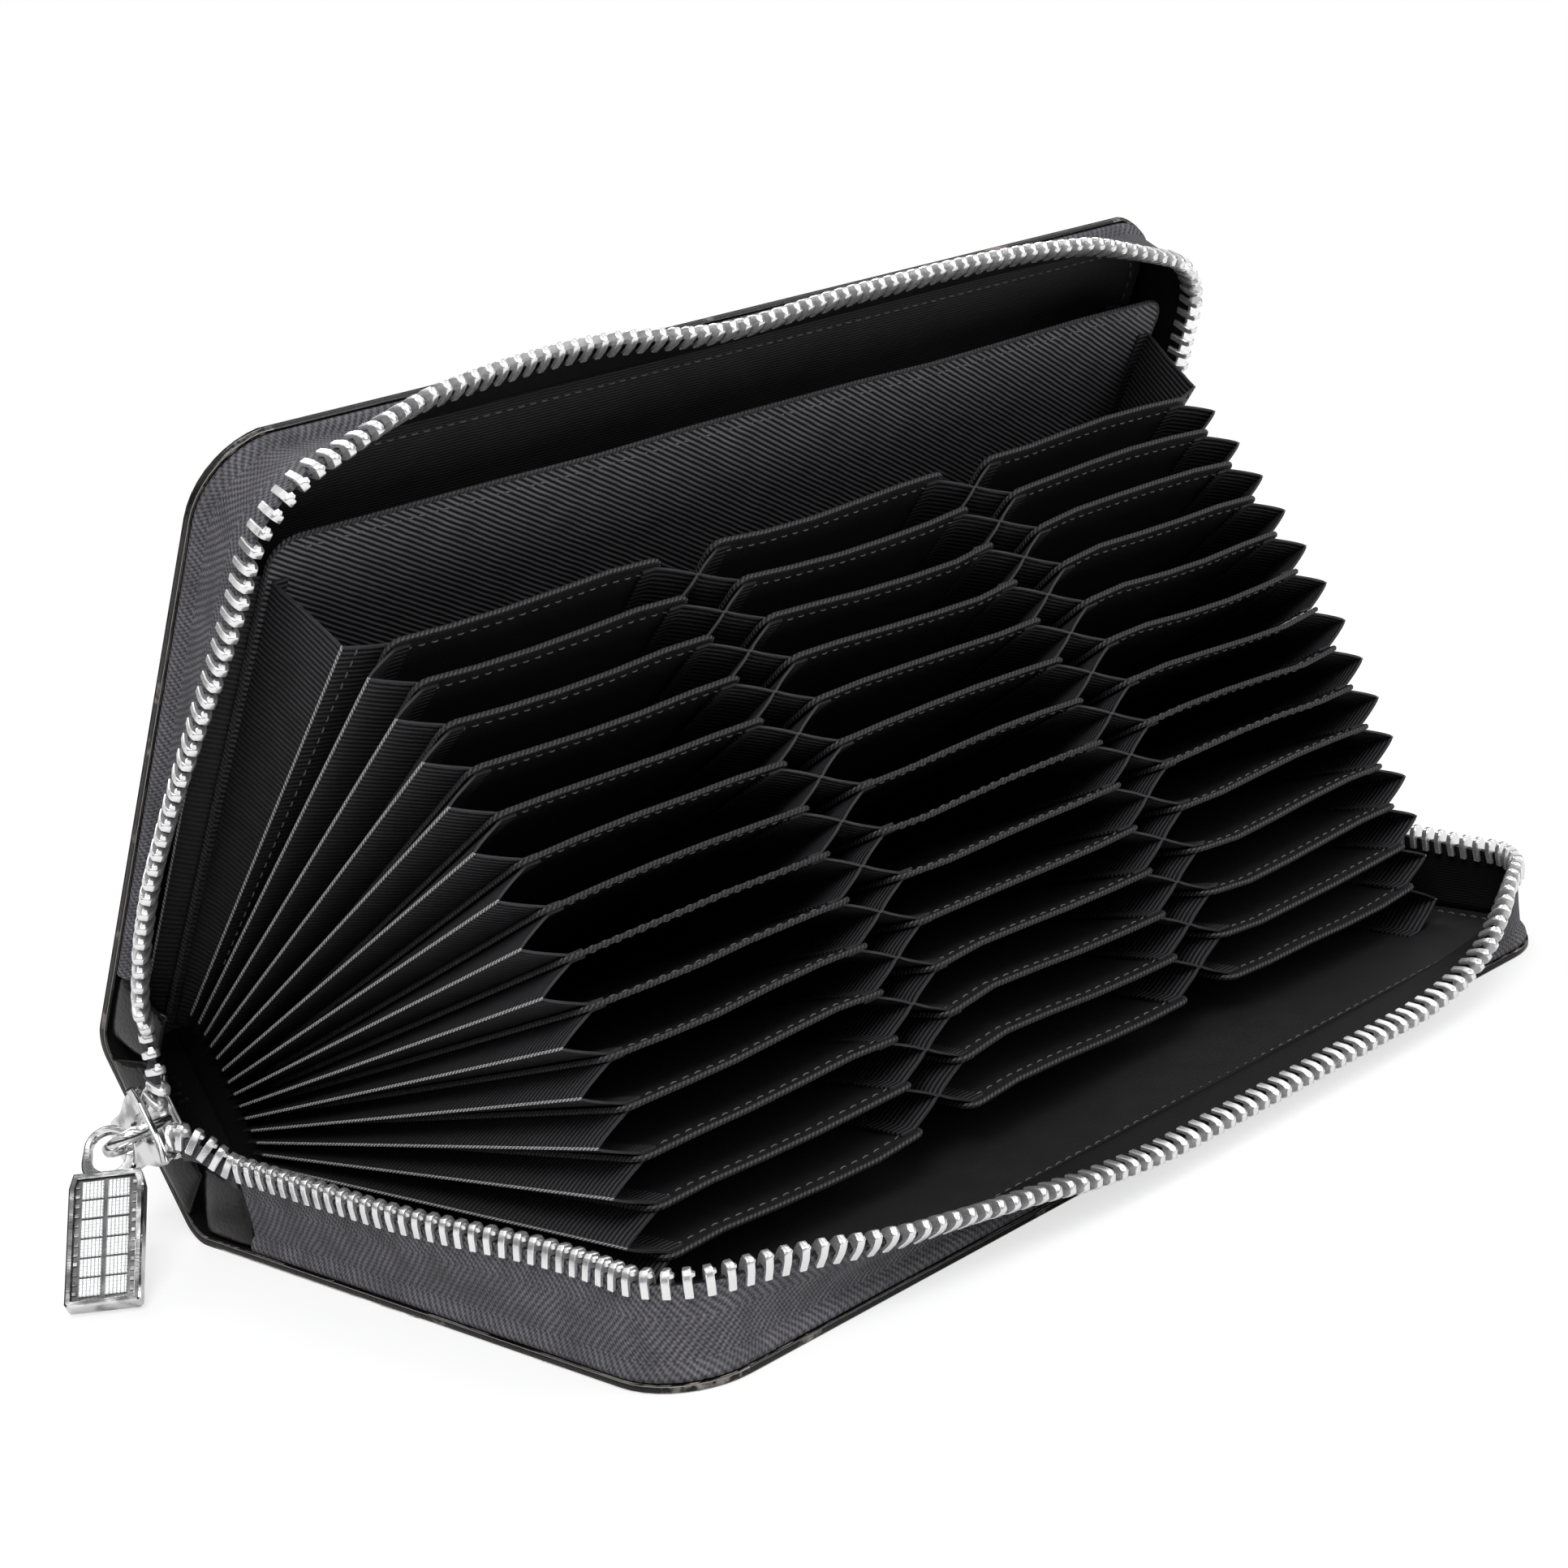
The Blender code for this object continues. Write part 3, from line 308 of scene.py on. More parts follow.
paper = Finish("pale_floor", roughness=0.9, specular=0.0)
floor_colour = paper.mix(paper.ray("Is Glossy Ray"), grey(FLOOR_SHADE), grey(FLOOR_IN_METAL))
paper.set("Base Color", floor_colour)
reach = paper.add("ShaderNodeVectorMath", {"operation": "LENGTH"}, [paper.place()], "Value")
far = ((reach - FADE_START) / FADE_LENGTH).clamp()
white = paper.add("ShaderNodeEmission", {}, {"Color": grey(1.0), "Strength": 1.0})
lit = Paint(paper, paper.shader.outputs[0])
share = paper.ray("Is Camera Ray") * (far * (1 - PLAIN_WHITE_NEAR) + PLAIN_WHITE_NEAR)
surface = paper.tree.nodes["Material Output"].inputs["Surface"]
paper.connect(surface, paper.mix_shaders(share, lit, white))
floor_mesh.materials.append(paper.material)
print("floor is", 2 * FLOOR_REACH, "m wide")

# %% World
AMBIENT = 0.55
DARK_CEILING = 0.05
CEILING_START = 0.25
CEILING_RISE = 5
STRIP_PITCH = 0.55
STRIP_CONTRAST = 3
STRIP_CUT = 0.9
BETWEEN_STRIPS = 0.15

world = bpy.data.worlds.new("studio")
world.use_nodes = True
scene.world = world
studio = Graph(world.node_tree)


def background(strength):
    return studio.add("ShaderNodeBackground", {}, {"Color": grey(1.0), "Strength": strength})


direction = studio.add("ShaderNodeTexCoord", {}, {}, "Generated")
upwards = studio.add("ShaderNodeSeparateXYZ", {}, [direction], "Z")
slant = upwards.other("X") * 1.6 + upwards * 1.1
strips = (slant.wave(STRIP_PITCH) * STRIP_CONTRAST - STRIP_CUT).clamp()
ceiling = ((upwards - CEILING_START) * CEILING_RISE).clamp()
ceiling = ceiling * (strips * (1 - BETWEEN_STRIPS) + BETWEEN_STRIPS)
mirrored = background(ceiling + DARK_CEILING)
around = studio.mix_shaders(studio.ray("Is Glossy Ray"), background(AMBIENT), mirrored)
around = studio.mix_shaders(studio.ray("Is Camera Ray"), around, background(1.0))
studio.connect(world.node_tree.nodes["World Output"].inputs["Surface"], around)
print("world has", len(world.node_tree.nodes), "nodes")

# %% Lamps
LAMPS = (
    {"name": "key_light", "place": (-0.9, -0.7, 1.5), "size": 0.8, "power": 26},
    {"name": "fill_light", "place": (0.8, -1.3, 0.9), "size": 1.0, "power": 12},
    {"name": "rim_light", "place": (0.4, 1.4, 1.3), "size": 0.9, "power": 14},
)


def softbox(name, place, size, power):
    """A square lamp that looks at the origin."""
    lamp = bpy.data.lights.new(name, "AREA")
    lamp.shape = "SQUARE"
    lamp.size = size
    lamp.energy = power
    holder = bpy.data.objects.new(name, lamp)
    holder.location = place
    holder.rotation_mode = "QUATERNION"
    holder.rotation_quaternion = (-Vector(place)).to_track_quat("-Z", "Y")
    scene.collection.objects.link(holder)


for lamp in LAMPS:
    softbox(**lamp)
print("lamps:", sorted(lamp.name for lamp in bpy.data.lights))

# %% [markdown]
# ## Finishes
#
# The photograph has six: glossy black leather with a fine pebble grain, dark grey herringbone
# tape, black ribbed grosgrain, plainer black nylon, bright metal and grey thread. Leather and
# metal read the object's own coordinates, so a noise's scale there is in patches per metre.
# Cloth reads the piece's own map, where pitches are in millimetres.

# %% Leather
PEBBLE_SCALE = 1500.0
CREASE_SCALE = 260.0


def leather_finish():
    finish = Finish("glossy_leather", roughness=0.3, specular=0.32)
    place = finish.place()
    pebbles = finish.add(
        "ShaderNodeTexVoronoi",
        {"feature": "SMOOTH_F1"},
        {"Vector": place, "Scale": PEBBLE_SCALE, "Smoothness": 0.6},
    )
    creases = finish.noise(place, scale=CREASE_SCALE, detail=4.0)
    cloud = finish.noise(place, scale=45.0, detail=3.0)
    rubbed = finish.noise(place, scale=110.0, detail=4.0, roughness=0.65)
    rim = finish.attribute("rim")
    wear = (rim * (rubbed * 7 - 5.2 + rim)).clamp()
    colour = finish.mix(cloud, grey(0.004), grey(0.009))
    finish.set("Base Color", finish.mix(wear * 0.8, colour, grey(0.3, warm=0.08)))
    finish.set("Roughness", cloud * 0.14 + wear * 0.2 + 0.16)
    finish.bump(pebbles * 0.7 + creases * 0.7, strength=0.5, distance=0.00014)
    return finish.material


LEATHER_FINISH = leather_finish()
print("leather:", len(LEATHER_FINISH.node_tree.nodes), "nodes")

# %% Woven tape
LANE = 6.0
RIB = 1.25
PLAIT = 0.62
# Millimetres up from the sewn foot over which the tape is painted darker: painted shade where the
# tape meets the cover.
FOOT = 7
TAPE_DARK = (0.0105, 0.010, 0.0115, 1)
TAPE_BRIGHT = (0.165, 0.16, 0.18, 1)


def tape_finish():
    """Herringbone: ribs that lean one way and then the other in lanes along the tape."""
    finish = Finish("herringbone_tape", roughness=0.75, specular=0.25)
    uv, along, across = finish.cloth_place()
    drift = finish.noise(uv, scale=0.16, detail=3.0) * 1.5
    zigzag = ((across / (2 * LANE) + 0.3) % 1 - 0.5).size() * 2 * LANE
    ribs = (along + zigzag * 0.9 + drift).wave(RIB)
    plait = (along - zigzag * 0.7 + drift * 0.3).wave(PLAIT) * (across.wave(PLAIT) * 0.7 + 0.3)
    fuzz = finish.noise(uv, scale=2.6, detail=3.0, roughness=0.75)
    patch = finish.noise(uv, scale=0.22, detail=3.0)
    strength = (patch * 3 - 0.9).clamp() * 0.4 + 0.2
    # Painted shade: the weave is painted darker towards the sewn foot, where the tape meets the
    # cover.
    foot = (across / FOOT).clamp() * 0.35 + 0.65
    light = (ribs * strength + plait * 0.5 + 0.12) * (fuzz * 1.3 + 0.2) * foot
    finish.set("Base Color", finish.mix(light.clamp(), TAPE_DARK, TAPE_BRIGHT))
    finish.set("Roughness", fuzz * 0.2 + 0.62)
    finish.bump(ribs * 0.6 + plait * 0.6 + fuzz * 0.4, strength=0.8, distance=0.0003)
    return finish.material


TAPE_FINISH = tape_finish()
print("tape:", len(TAPE_FINISH.node_tree.nodes), "nodes")

# %% Pocket cloth
THREAD = 0.4
# Height in millimetres up to which the cloth is painted lighter: painted light from above, fading
# to painted shade lower down.
PAINTED_LIGHT_HEIGHT = 88


def ribbed_finish(name, pitch, slant, dark, bright, depth):
    """Cloth with fine ribs, level or on a slant. Its upper part is painted lighter: painted light
    from above, fading to painted shade lower down.
    """
    finish = Finish(name, roughness=0.6, specular=0.22)
    uv, along, height = finish.cloth_place()
    drift = finish.noise(uv, scale=0.2, detail=2.0)
    ribs = (height * cos(slant) + along * sin(slant) + drift * 0.3).wave(pitch)
    threads = (along * cos(slant) - height * sin(slant)).wave(THREAD)
    fuzz = finish.noise(uv, scale=3.0, detail=2.0, roughness=0.6)
    # Painted light and shade: the cloth is painted lighter towards its top and darker towards the
    # pocket's floor.
    painted_top_light = (height / PAINTED_LIGHT_HEIGHT).clamp() ** 2.2 * 0.85 + 0.15
    light = ribs ** 1.5 * (fuzz * 0.7 + 0.5) * (drift * 0.8 + 0.5) * painted_top_light
    bright_colour = (bright, bright * 0.97, bright * 1.07, 1)
    finish.set("Base Color", finish.mix(light.clamp(), grey(dark), bright_colour))
    finish.set("Roughness", fuzz * 0.15 + 0.5)
    finish.bump(ribs + threads * ribs * 0.25, strength=0.6, distance=depth)
    return finish.material


GROSGRAIN_FINISH = ribbed_finish(
    "grosgrain", pitch=0.9, slant=0.0, dark=0.0035, bright=0.06, depth=0.00014
)
TWILL_FINISH = ribbed_finish(
    "twill", pitch=0.8, slant=radians(30), dark=0.0035, bright=0.16, depth=0.00014
)
NYLON_FINISH = ribbed_finish(
    "pocket_nylon", pitch=0.5, slant=0.0, dark=0.003, bright=0.024, depth=0.00006
)


def cord_finish(name, dark, bright):
    """The bound edge of a fold: a thin cord with close ribs across it."""
    finish = Finish(name, roughness=0.55, specular=0.35)
    uv, along, around = finish.cloth_place()
    ribs = (along + around * 0.25).wave(0.8)
    fuzz = finish.noise(uv, scale=1.2, detail=2.0)
    finish.set("Base Color", finish.mix((ribs * (fuzz + 0.3)).clamp(), grey(dark), grey(bright)))
    finish.bump(ribs, strength=0.8, distance=0.0002)
    return finish.material


CREASE_FINISH = cord_finish("fold_edge", dark=0.05, bright=0.46)
HEM_FINISH = cord_finish("hem_edge", dark=0.006, bright=0.045)
cloths = (GROSGRAIN_FINISH, TWILL_FINISH, NYLON_FINISH, CREASE_FINISH, HEM_FINISH)
print("pocket cloth:", [cloth.name for cloth in cloths])

# %% Metal
SCRATCH_SCALE = (900, 900, 5000)
PAD_PITCH = 0.55


def metal_finish(name, roughness, tint, metallic=1.0, uneven=0.3, painted_reflection=0.0):
    """Plated metal with small scratches. Its surface is not quite flat, as on a casting."""
    finish = Finish(name, roughness, metallic=metallic)
    place = finish.place()
    cloud = finish.noise(place, scale=350.0, detail=3.0)
    stretch = finish.add("ShaderNodeMapping", {}, {"Vector": place, "Scale": SCRATCH_SCALE})
    scratches = finish.noise(stretch, scale=1.0, detail=2.0)
    colour = finish.mix(cloud, grey(tint), grey(min(tint + 0.08, 1.0)))
    # Dark patches painted on the bright metal: painted reflections of dark surroundings.
    if painted_reflection:
        reflection_patches = (finish.noise(place, scale=330.0, detail=3.0) * 5 - 2.2).clamp() * painted_reflection
        colour = finish.mix(reflection_patches, colour, grey(0.06, warm=-0.03))
    finish.set("Base Color", colour)
    finish.set("Roughness", cloud * 0.1 + roughness)
    waves = finish.noise(place, scale=170.0, detail=1.0)
    finish.bump(scratches * 0.03 + waves * uneven * 4, strength=0.5, distance=0.0005)
    return finish.material


TEETH_FINISH = metal_finish("tooth_metal", roughness=0.2, tint=0.97, metallic=0.88, uneven=0.0)
# The chrome carries painted reflections as dark patches.
CHROME_FINISH = metal_finish("bright_chrome", roughness=0.05, tint=0.92, painted_reflection=0.6)
SUNK_FINISH = metal_finish("sunk_metal", roughness=0.22, tint=0.1)


def pad_finish():
    """Bright metal pads, cut into small squares by fine engraved lines."""
    finish = Finish("engraved_metal", roughness=0.32, metallic=0.6)
    uv, across, down = finish.cloth_place()
    lines = (across.wave(PAD_PITCH) ** 6).math("MAXIMUM", down.wave(PAD_PITCH) ** 6)
    cloud = finish.noise(uv, scale=1.5, detail=3.0)
    shade = (lines * 0.75 + cloud * 0.2).clamp()
    finish.set("Base Color", finish.mix(shade, grey(0.95), grey(0.32, warm=-0.05)))
    finish.set("Roughness", cloud * 0.15 + 0.3)
    finish.bump(lines * -1, strength=0.6, distance=0.00012)
    return finish.material


PAD_FINISH = pad_finish()
metals = (TEETH_FINISH, CHROME_FINISH, SUNK_FINISH, PAD_FINISH)
print("metals:", [metal.name for metal in metals])

# %% Thread and board


def plain_finish(name, dark, bright, scale, roughness, depth):
    """A matt surface that is cloudy between two greys."""
    finish = Finish(name, roughness, specular=0.3)
    cloud = finish.noise(finish.place(), scale, detail=4.0, roughness=0.6)
    colour = finish.mix(cloud, grey(dark, warm=0.02), grey(bright, warm=0.05))
    finish.set("Base Color", colour)
    finish.set("Roughness", cloud * 0.2 + roughness - 0.1)
    finish.bump(cloud, strength=0.4, distance=depth)
    return finish.material


THREAD_FINISH = plain_finish(
    "thread", dark=0.03, bright=0.13, scale=3500.0, roughness=0.55, depth=0.00005
)
BOARD_FINISH = plain_finish(
    "grey_board", dark=0.22, bright=0.34, scale=600.0, roughness=0.85, depth=0.00008
)
print("finishes:", sorted(m.name for m in bpy.data.materials if m.node_tree))

# %% [markdown]
# ## Cloth and leather as sheets
#
# Cloth has a thickness, so each sheet is drawn as a grid of points on its middle surface and
# then given two faces and a wall round every free edge. The same grid holds the sheet's own
# map in millimetres, which the weave follows. Missing cells make slots between panels.

# %% Sheet helper
NO_AREA = 1e-12


def sheet_bmesh(grid, thickness, across=None, along=None, keep=None, rim=None, finishes=(0, 0)):
    """A closed sheet round a grid of points, with its map.

    across holds the map's first number for each column, and along its second for each row.
    Either may hold a list for each row instead, with a number for each point.
    """
    rows, cols = len(grid), len(grid[0])
    bm = bmesh.new()
    uv_layer = bm.loops.layers.uv.new("UVMap")
    rim_layer = bm.verts.layers.float.new("rim")
    us = across or [i * 1.0 for i in range(cols)]
    vs = along or [i * 1.0 for i in range(rows)]

    def normal(i, j):
        up = grid[min(i + 1, rows - 1)][j] - grid[max(i - 1, 0)][j]
        side = grid[i][min(j + 1, cols - 1)] - grid[i][max(j - 1, 0)]
        cross = side.cross(up)
        return cross.normalized() if cross.length > NO_AREA else Vector((0, 0, 1))

    cells = [
        (i, j)
        for i in range(rows - 1)
        for j in range(cols - 1)
        if keep is None or keep(i, j)
    ]
    used = sorted({(i + a, j + b) for i, j in cells for a in (0, 1) for b in (0, 1)})
    sides = []
    for sign in (0.5, -0.5):
        made = {}
        for i, j in used:
            made[i, j] = bm.verts.new(grid[i][j] + normal(i, j) * (thickness * sign))
            made[i, j][rim_layer] = rim(i, j) if rim else 0.0
        sides.append(made)

    def map_of(i, j):
        u = us[i][j] if isinstance(us[0], (list, tuple)) else us[j]
        v = vs[i][j] if isinstance(vs[0], (list, tuple)) else vs[i]
        return (u, v)

    def face(corners):
        made = bm.faces.new([sides[side][i, j] for side, i, j in corners])
        made.material_index = finishes[corners[0][0]]
        for loop, (_, i, j) in zip(made.loops, corners):
            loop[uv_layer].uv = map_of(i, j)

    edges = {}
    for i, j in cells:
        loop = [(i, j), (i, j + 1), (i + 1, j + 1), (i + 1, j)]
        face([(0, *corner) for corner in loop])
        face([(1, *corner) for corner in loop[::-1]])
        for first, second in zip(loop, loop[1:] + loop[:1]):
            if (second, first) in edges:
                del edges[second, first]
            else:
                edges[first, second] = True
    for first, second in edges:
        face([(0, *second), (0, *first), (1, *first), (1, *second)])
    bmesh.ops.recalc_face_normals(bm, faces=bm.faces[:])
    return bm


trial = sheet_bmesh([[Vector((x, y, 0)) for x in (0, 1)] for y in (0, 1)], 0.1)
print("a sheet of one cell has", len(trial.faces), "faces")
trial.free()

# %% Tube helper


def tube_into(bm, points, radius, finish_index=0, sides=6):
    """A closed tube along points. Its map holds millimetres along it and sides around it."""
    uv_layer = bm.loops.layers.uv.verify()
    rings, run, runs = [], 0.0, []
    for i, point in enumerate(points):
        tangent = points[min(i + 1, len(points) - 1)] - points[max(i - 1, 0)]
        tangent.normalize()
        side = tangent.orthogonal() if not rings else side - tangent * side.dot(tangent)
        side.normalize()
        other = tangent.cross(side)
        if i:
            run += (point - points[i - 1]).length / MM
        runs.append(run)
        ring = []
        for k in range(sides):
            angle = 2 * pi * k / sides
            offset = side * cos(angle) * radius + other * sin(angle) * radius
            ring.append(bm.verts.new(point + offset))
        rings.append(ring)
    faces = []
    for i in range(len(rings) - 1):
        for k in range(sides):
            n = (k + 1) % sides
            face = bm.faces.new((rings[i][k], rings[i][n], rings[i + 1][n], rings[i + 1][k]))
            spots = ((i, k), (i, k + 1), (i + 1, k + 1), (i + 1, k))
            for loop, (row, turn) in zip(face.loops, spots):
                loop[uv_layer].uv = (runs[row], turn)
            faces.append(face)
    faces.append(bm.faces.new(rings[0][::-1]))
    faces.append(bm.faces.new(rings[-1]))
    for face in faces:
        face.material_index = finish_index


trial = bmesh.new()
tube_into(trial, [Vector((0, 0, 0)), Vector((1, 0, 0))], 0.1)
print("a tube of one length has", len(trial.faces), "faces")
trial.free()

# %% From a bmesh to a piece
SHARP_EDGE = radians(50)
ALL_SMOOTH = 180


def round_edges(bm, offset, segments, skip=None):
    """Bevels the sharp edges, apart from those for which skip() is true."""
    edges = [edge for edge in bm.edges if edge.calc_face_angle(0) > SHARP_EDGE]
    if skip:
        edges = [edge for edge in edges if not skip(edge)]
    bmesh.ops.bevel(
        bm, geom=edges, offset=offset, segments=segments, profile=0.5, affect="EDGES"
    )


def add_piece(name, bm, finishes, body=None, smooth=40):
    """Makes a piece of the object. Edges sharper than smooth, in degrees, stay sharp."""
    mesh = bpy.data.meshes.new(name)
    bm.to_mesh(mesh)
    bm.free()
    mesh.shade_smooth()
    mesh.set_sharp_from_angle(angle=radians(smooth))
    piece = bpy.data.objects.new(name, mesh)
    scene.collection.objects.link(piece)
    for finish in finishes:
        mesh.materials.append(finish)
    if body:
        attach(piece, body)
    return piece


print("edges over", round(SHARP_EDGE, 2), "radians count as sharp")

# %% [markdown]
# ## The leather shell
#
# On the real wallet one piece of leather makes the front cover, the spine and the rear cover.
# Here it is drawn as one strip with round bends at the two hinge lines, and cut in two at the
# middle of the spine, because a piece can bend between two bodies only.

# %% Rows of the leather shell
BEND_RADIUS = 5 * MM
BEND_REACH = BEND_RADIUS * sin(TILT / 2) / cos(TILT / 2)
SPINE_STEPS = 6
BEND_STEPS = 10
COVER_STEPS = 24
CORNER_STEPS = 10


def shell_rows(half):
    """Rows from mid-spine to the free edge: a point in the upright wallet, and the side inset."""
    side = -half.inward
    hinge = Vector((0, side * HINGE_SPACING / 2, 0))
    cover = half.upright.to_3x3() @ Vector((0, 0, 1))
    flat = HINGE_SPACING / 2 - BEND_REACH
    rows = [(Vector((0, side * flat * i / SPINE_STEPS, 0)), 0.0) for i in range(SPINE_STEPS)]
    centre = hinge - Vector((0, side * BEND_REACH, 0)) + Vector((0, 0, BEND_RADIUS))
    for i in range(BEND_STEPS + 1):
        angle = TILT * i / BEND_STEPS
        offset = Vector((0, side * sin(angle), -cos(angle))) * BEND_RADIUS
        rows.append((centre + offset, 0.0))
    shoulder = COVER_HEIGHT - COVER_CORNER
    for i in range(1, COVER_STEPS + 1):
        height = BEND_REACH + (shoulder - BEND_REACH) * i / COVER_STEPS
        rows.append((hinge + cover * height, 0.0))
    for i in range(1, CORNER_STEPS + 1):
        angle = pi / 2 * i / CORNER_STEPS
        height = shoulder + COVER_CORNER * sin(angle)
        rows.append((hinge + cover * height, COVER_CORNER * (1 - cos(angle))))
    return rows


print("rows in each half of the shell:", len(shell_rows(FRONT)))

# %% Leather shell
LEATHER_EDGE = 0.42 * MM
SHELL_COLUMNS = 60
CORNER_WEAR = 1.55
WORN_ROWS = 9
WORN_COLUMNS = 3
ON_THE_CUT = 0.01 * MM


def ease(part):
    """0 to 1, slow at both ends."""
    return part * part * (3 - 2 * part)


def shell_share(j):
    """How far along the shell a column stands. Columns crowd towards the rounded corners."""
    share = j / SHELL_COLUMNS
    return 0.5 - 0.5 * cos(pi * (0.3 * share + 0.7 * ease(share)))


def blend_at_hinge(piece, half, on_cover, on_spine):
    """Bakes the piece's placement into its mesh."""
    if half is FRONT:
        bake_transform(piece)
        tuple(on_cover)
        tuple(on_spine)
    else:
        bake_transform(piece)
        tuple(on_spine)
        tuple(on_cover)


def build_shell(half, replaced):
    rows = shell_rows(half)
    grid, us, vs = [], [], []
    run = 0.0
    last = rows[0][0]
    for place, inset in rows:
        run += (place - last).length
        last = place
        width = COVER_LENGTH - 2 * inset
        xs = [inset + width * shell_share(j) for j in range(SHELL_COLUMNS + 1)]
        grid.append([WALLET @ Vector((x, place.y, place.z)) for x in xs])
        us.append([x / MM for x in xs])
        vs.append([run / MM] * len(xs))

    def rim(i, j):
        """1 along the free edges and more round the corners, which rub off first."""
        side = min(j, SHELL_COLUMNS - j)
        last = len(rows) - 1
        if side > 0 and i < last:
            return 0.0
        return CORNER_WEAR if i > last - WORN_ROWS and side < WORN_COLUMNS else 1.0

    cut = WALLET @ Vector((0, 0, 0))
    across = WALLET.to_3x3() @ Vector((0, 1, 0))

    def on_the_cut(edge):
        return all(abs((vert.co - cut).dot(across)) < ON_THE_CUT for vert in edge.verts)

    bm = sheet_bmesh(grid, LEATHER, us, vs, rim=rim)
    round_edges(bm, LEATHER_EDGE, segments=3, skip=on_the_cut)
    piece = add_piece(half.name + "_leather", bm, [LEATHER_FINISH])
    on_spine = WALLET @ Vector((0, -half.inward * (HINGE_SPACING / 2 - BEND_REACH), 0))
    blend_at_hinge(piece, half, half.at(0, 0, BEND_REACH), on_spine)
    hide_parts(*replaced)
    print(piece.name, len(piece.data.polygons), "faces")


build_shell(FRONT, ["front_cover", "spine"])
build_shell(REAR, ["rear_cover"])

# %% [markdown]
# ## The path of the zipper
#
# Each zipper half is sewn along three sides of a cover. The tape stands up from the cover and
# leans outwards by a different amount along the way: nearly upright at the sides, splayed flat
# in the middle of the long side where the pocket is pulled open. A table gives that lean, in
# degrees, at shares of the way.

# %% Rim path
TAPE = 0.7 * MM
TAPE_INSET = 1.5 * MM
WRAP_END = 13.7 * MM


def rim_place(share):
    """The point at this share of the rim path, in X and Z, and the outward direction there."""
    radius = COVER_CORNER - TAPE_INSET
    start = WRAP_END + CLEARANCE
    side = COVER_HEIGHT - COVER_CORNER - start
    top = COVER_LENGTH - 2 * COVER_CORNER
    arc = radius * pi / 2
    along = share * (2 * side + top + 2 * arc)
    shoulder = COVER_HEIGHT - COVER_CORNER
    if along < side:
        return Vector((TAPE_INSET, 0, start + along)), Vector((-1, 0, 0))
    along -= side
    if along < arc:
        normal = Vector((-cos(along / radius), 0, sin(along / radius)))
        return Vector((COVER_CORNER, 0, shoulder)) + radius * normal, normal
    along -= arc
    if along < top:
        return Vector((COVER_CORNER + along, 0, COVER_HEIGHT - TAPE_INSET)), Vector((0, 0, 1))
    along -= top
    right = COVER_LENGTH - COVER_CORNER
    if along < arc:
        normal = Vector((sin(along / radius), 0, cos(along / radius)))
        return Vector((right, 0, shoulder)) + radius * normal, normal
    along -= arc
    return Vector((COVER_LENGTH - TAPE_INSET, 0, shoulder - along)), Vector((1, 0, 0))


print("rim path runs from", rim_place(0)[0], "to", rim_place(1)[0])

# %% Lean
LEAN_BLUR = 0.03
BLUR_STEPS = 3
LEANS = {
    "front": (
        (0.0, 8), (0.11, 8), (0.156, -5), (0.188, -15), (0.263, 7), (0.285, 28), (0.306, 44),
        (0.328, 54), (0.36, 64), (0.403, 80), (0.446, 96), (0.651, 96), (0.683, 75), (0.712, 50),
        (0.732, 14), (0.755, -9), (0.812, -11), (0.833, 9), (1.0, 9),
    ),
    "rear": (
        (0.0, 27), (0.012, 41), (0.048, 48), (0.091, 46), (0.124, 36), (0.167, 26), (0.199, 13),
        (0.235, 9), (0.263, 29), (0.285, 52), (0.328, 64), (0.392, 70), (0.457, 48), (0.511, 56),
        (0.608, 57), (0.661, 52), (0.704, 40), (0.732, 8), (0.78, -13), (0.823, 24), (1.0, 20),
    ),
}


def table_lean(half, share):
    table = LEANS[half.name]
    for (start, first), (end, second) in zip(table, table[1:]):
        if share <= end:
            part = ease((share - start) / (end - start))
            return radians(first + (second - first) * part)
    return radians(table[-1][1])


def lean_at(half, share):
    """The lean, evened out over a short stretch of the path."""
    reach = min(LEAN_BLUR, share, 1 - share)
    spots = [share + reach * i / BLUR_STEPS for i in range(-BLUR_STEPS, BLUR_STEPS + 1)]
    return sum(table_lean(half, spot) for spot in spots) / len(spots)


print("lean half way:", [round(lean_at(half, 0.5), 2) for half in (FRONT, REAR)])

# %% Tape's cross-section and the row on its edge
TAPE_FOOT = 5 * MM
TAPE_WIDTH = 12 * MM
TAPE_BEND_DEPTH = 3 * MM
TAPE_ROLL = TAPE_INSET - 0.55 * MM
# Where the tape rolls over: a share of TAPE_ROLL outwards, and a rise in millimetres.
ROLL_SHAPE = ((0.6, 0), (0.92, 0.12), (1, 0.4), (0.9, 0.9), (0.5, 1.5))
FREE_STEPS = 12
LEAN_AT_ROLL = 0.1
TOOTH_PITCH = 2.7 * MM
TOOTH_LENGTH = 3.8 * MM
TOOTH_THICKNESS = 2.6 * MM


def tape_line(lean, extra=0.0):
    """The tape's middle line in outward and depth, from its sewn foot to its free edge.

    The lean grows over the first half of the free part and is full from there on.
    """
    foot = INNER_FACE + TAPE / 2 - CLEARANCE
    points = [(-TAPE_FOOT, foot), (-TAPE, foot)]
    points += [(TAPE_ROLL * share, foot + rise * MM) for share, rise in ROLL_SHAPE]
    outward, depth = 0, TAPE_BEND_DEPTH
    points.append((outward, depth))
    free = TAPE_WIDTH - TAPE_BEND_DEPTH
    for i in range(FREE_STEPS):
        angle = lean * min(1, 2 * (i + 0.5) / FREE_STEPS + LEAN_AT_ROLL)
        outward += sin(angle) * free / FREE_STEPS
        depth += cos(angle) * free / FREE_STEPS
        points.append((outward, depth))
    points.append((outward + sin(lean) * extra, depth + cos(lean) * extra))
    return points


